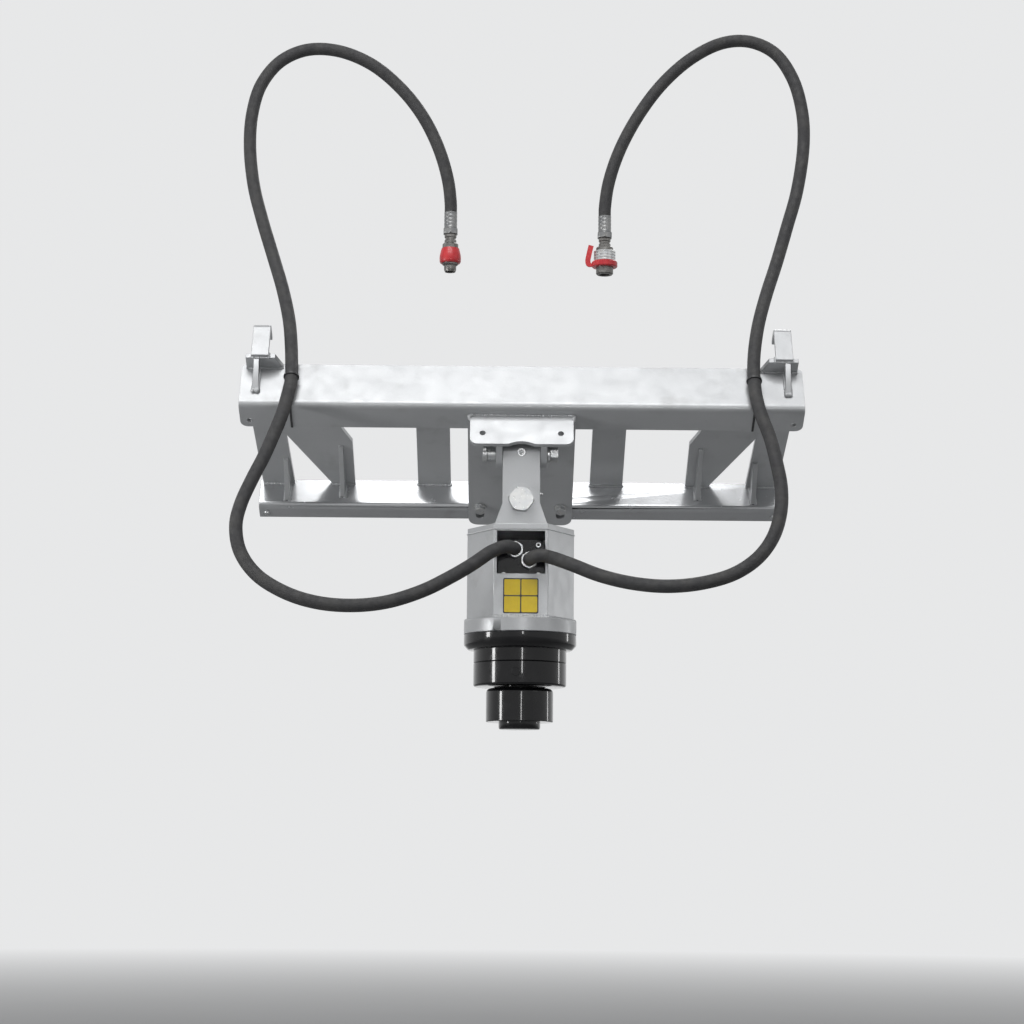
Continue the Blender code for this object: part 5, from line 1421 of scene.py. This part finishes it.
HUB_RADIUS = 0.0605
HUB_TOP = -0.4274
HUB_LOW = -0.4874
HUB_ROUND = 0.008
STUB_RADIUS = 0.0375
STUB_LOW = -0.5004
SHAFT_RADIUS = 0.032
SPIGOT_RADIUS = 0.020

shaft_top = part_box("output_shaft")[1].z - PIN.z
spigot_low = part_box("planet_carrier")[0].z - PIN.z - FIT_GAP
profile = [
    (0, shaft_top),
    (SPIGOT_RADIUS, shaft_top),
    (SPIGOT_RADIUS, spigot_low),
    (SHAFT_RADIUS, spigot_low),
    (SHAFT_RADIUS, HUB_TOP),
]
for step in range(9):
    angle = pi / 2 * (1 - step / 8)
    radius = HUB_RADIUS - HUB_ROUND + HUB_ROUND * cos(angle)
    profile.append((radius, HUB_TOP - HUB_ROUND + HUB_ROUND * sin(angle)))
profile += [
    (HUB_RADIUS, HUB_LOW + 0.0012),
    (HUB_RADIUS - 0.0012, HUB_LOW),
    (STUB_RADIUS, HUB_LOW),
    (STUB_RADIUS, STUB_LOW + 0.003),
    (STUB_RADIUS - 0.0010, STUB_LOW + 0.0008),
    (STUB_RADIUS - 0.003, STUB_LOW),
    (0, STUB_LOW),
]
shaft = on_drive("output_shaft_finished", profile, black_paint, sides=112)
fitted(shaft, "output", "black_paint", "output_shaft")

gear_steel, steel_shader = new_material("ground_steel", (0.55, 0.55, 0.56), 0.26, 1.0)
steel_tree = gear_steel.node_tree
turning_marks = cloud(steel_tree, 150, 3, object_place(steel_tree, (1, 1, 14)))
marked = spread(steel_tree, turning_marks, 0.0, 1.0)
steel_colour = blended(steel_tree, marked, (0.44, 0.44, 0.45), (0.62, 0.62, 0.63))
wire(steel_tree, steel_colour, steel_shader.inputs["Base Color"])
roughened(steel_shader, 90, 4, 0.20, 0.36)
fine_marks = cloud(steel_tree, 300, 2, object_place(steel_tree, (1, 1, 12)))
raised(steel_shader, (fine_marks, 0.2, 0.0002))

seal_rubber, seal_shader = new_material("seal_rubber", (0.03, 0.03, 0.031), 0.62, 0.0)
toned(seal_shader, 110, 4, (0.022, 0.022, 0.023), (0.05, 0.048, 0.045))
roughened(seal_shader, 200, 3, 0.35, 0.7)
PLAIN_NODES = {
    "ring_gear": gear_steel,
    "sun_gear": gear_steel,
    "planet_carrier": gear_steel,
    "planet_gear_1": gear_steel,
    "planet_gear_2": gear_steel,
    "planet_gear_3": gear_steel,
    "output_bearing": gear_steel,
    "shaft_seal": seal_rubber,
}
for node, material in PLAIN_NODES.items():
    for material_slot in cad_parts[node].material_slots:
        material_slot.material = material

# ---------------------------------------------------------------------------
# The hydraulic motor stands inside the housing, cast iron in black paint. Its
# port cover faces the window, held by four cap screws, and each port has a
# zinc hexagon nut and an elbow under a rubber sleeve that turns the hose aside.

for node in ("motor_body", "motor_cover"):
    softened(node, "drive", "black_paint", black_paint, edge=0.0012, segments=3)

COVER_FACE_Y = -0.0705
COVER_HALF = 0.041
COVER_TOP = -0.1658
COVER_LOW = -0.2398
SCREW_INSET = 0.010
SCREW_RADIUS = 0.0050
SCREW_HEAD = 0.006
SCREW_SEED = 5
SCREW_PROFILE = [(0, SCREW_HEAD), (SCREW_RADIUS, SCREW_HEAD), (SCREW_RADIUS, -0.0005), (0, -0.0005)]
screw_model = lathed("cap_screw_model", edged(SCREW_PROFILE, 0.0008), (0, 0), zinc, sides=24)
recess_model = hexagon_head(
    "cap_screw_socket", (0, 0), 0.0050, 0.0020, 0.0063, 0.0001, black_paint
)

screw_tree, screw_entry, screws_placed, screw_ids = geometry_tree(
    "screws_on_points",
    "Screws",
    ("Points", "NodeSocketGeometry"),
    ("Screw", "NodeSocketObject"),
    ("Size", "NodeSocketFloat", 1.0),
    ("Seed", "NodeSocketInt", SCREW_SEED),
    ("Finish", "NodeSocketMaterial"),
)
screw_info = screw_tree.nodes.new("GeometryNodeObjectInfo")
screw_turn = screw_tree.nodes.new("FunctionNodeAxisAngleToRotation")
screw_turn.inputs["Axis"].default_value = (1, 0, 0)
screw_turn.inputs["Angle"].default_value = pi / 2
screw_spin = screw_tree.nodes.new("FunctionNodeRandomValue")
screw_spin.inputs[3].default_value = 2 * pi
screw_own = screw_tree.nodes.new("FunctionNodeAxisAngleToRotation")
screw_own.inputs["Axis"].default_value = (0, 0, 1)
screw_both = screw_tree.nodes.new("FunctionNodeRotateRotation")
screw_both.rotation_space = "LOCAL"
for output, socket in (
    (screw_entry.outputs["Points"], screws_placed.inputs["Points"]),
    (screw_entry.outputs["Screw"], screw_info.inputs["Object"]),
    (screw_info.outputs["Geometry"], screws_placed.inputs["Instance"]),
    (screw_entry.outputs["Seed"], screw_spin.inputs["Seed"]),
    (screw_spin.outputs[1], screw_own.inputs["Angle"]),
    (screw_turn.outputs[0], screw_both.inputs["Rotation"]),
    (screw_own.outputs[0], screw_both.inputs["Rotate By"]),
    (screw_both.outputs[0], screws_placed.inputs["Rotation"]),
    (screw_entry.outputs["Size"], screws_placed.inputs["Scale"]),
):
    wire(screw_tree, output, socket)

for name, model, coat, slot in (
    ("motor_cover_screws", screw_model, zinc, "zinc"),
    ("motor_cover_screw_sockets", recess_model, black_paint, "black_paint"),
):
    work = bmesh.new()
    for x in (-COVER_HALF + SCREW_INSET, COVER_HALF - SCREW_INSET):
        for z in (COVER_LOW + SCREW_INSET, COVER_TOP - SCREW_INSET):
            work.verts.new(PIN + Vector((x, COVER_FACE_Y, z)))
    inputs = {
        screw_ids["Screw"]: model,
        screw_ids["Size"]: 1.0,
        screw_ids["Seed"]: SCREW_SEED,
        screw_ids["Finish"]: coat,
    }
    fitted(grown(name, work, screw_tree, inputs), "drive", slot)
    bpy.data.objects.remove(model)

PORT_PLACE = {"left": (-0.0107, -0.185), "right": (0.0143, -0.204)}
PORT_NUT_ACROSS = 0.027
PORT_NUT_HEIGHT = 0.018
ELBOW_RADIUS = 0.0118
ELBOW_PULL = 1.15
ELBOW_END_STRAIGHT = 0.004
ELBOW_STEPS = 24
ELBOW_STEP = 0.0012
NECK_SHRINK = 0.0024
NECK_PAST_NUT = 0.0005
BOOT_SWELL = 0.0035
for side, (x, z) in PORT_PLACE.items():
    start = Vector((x, COVER_FACE_Y - FIT_GAP, z))
    nut = hexagon_head(
        f"{side}_port_nut_finished",
        (0, 0),
        PORT_NUT_ACROSS,
        0.0,
        PORT_NUT_HEIGHT,
        0.0016,
        zinc,
        bore=ELBOW_RADIUS - 0.0021,
    )
    fitted(turned_to(nut, PIN + start, FRONTWARD), "drive", "zinc", f"{side}_port_nut")
    leave = start + Vector(FRONTWARD) * PORT_NUT_HEIGHT
    toward = Vector(ELBOW_HEADING[side]).normalized()
    elbow_end = Vector(ELBOW_END[side])
    landing = elbow_end - toward * ELBOW_END_STRAIGHT
    pull = (landing - leave).length * ELBOW_PULL
    line = [start]
    for step in range(ELBOW_STEPS + 1):
        t = step / ELBOW_STEPS
        point = leave * (2 * t**3 - 3 * t**2 + 1)
        point += Vector(FRONTWARD) * pull * (t**3 - 2 * t**2 + t)
        point += landing * (3 * t**2 - 2 * t**3) + toward * pull * (t**3 - t**2)
        line.append(point)
    line.append(elbow_end)
    line = evened([PIN + point for point in line], ELBOW_STEP)
    radii = []
    total = path_length(line)
    for index in range(len(line)):
        past_nut = total * index / (len(line) - 1) - PORT_NUT_HEIGHT - NECK_PAST_NUT
        covered = min(max(past_nut / BOOT_SWELL, 0.0), 1.0)
        radii.append(ELBOW_RADIUS - NECK_SHRINK * (1 - covered))
    elbow = swept(f"{side}_elbow", line, radii, 32, (0, 0, 1), hose_rubber)[0]
    fitted(elbow, "drive", "hose_rubber", f"{side}_port_elbow")
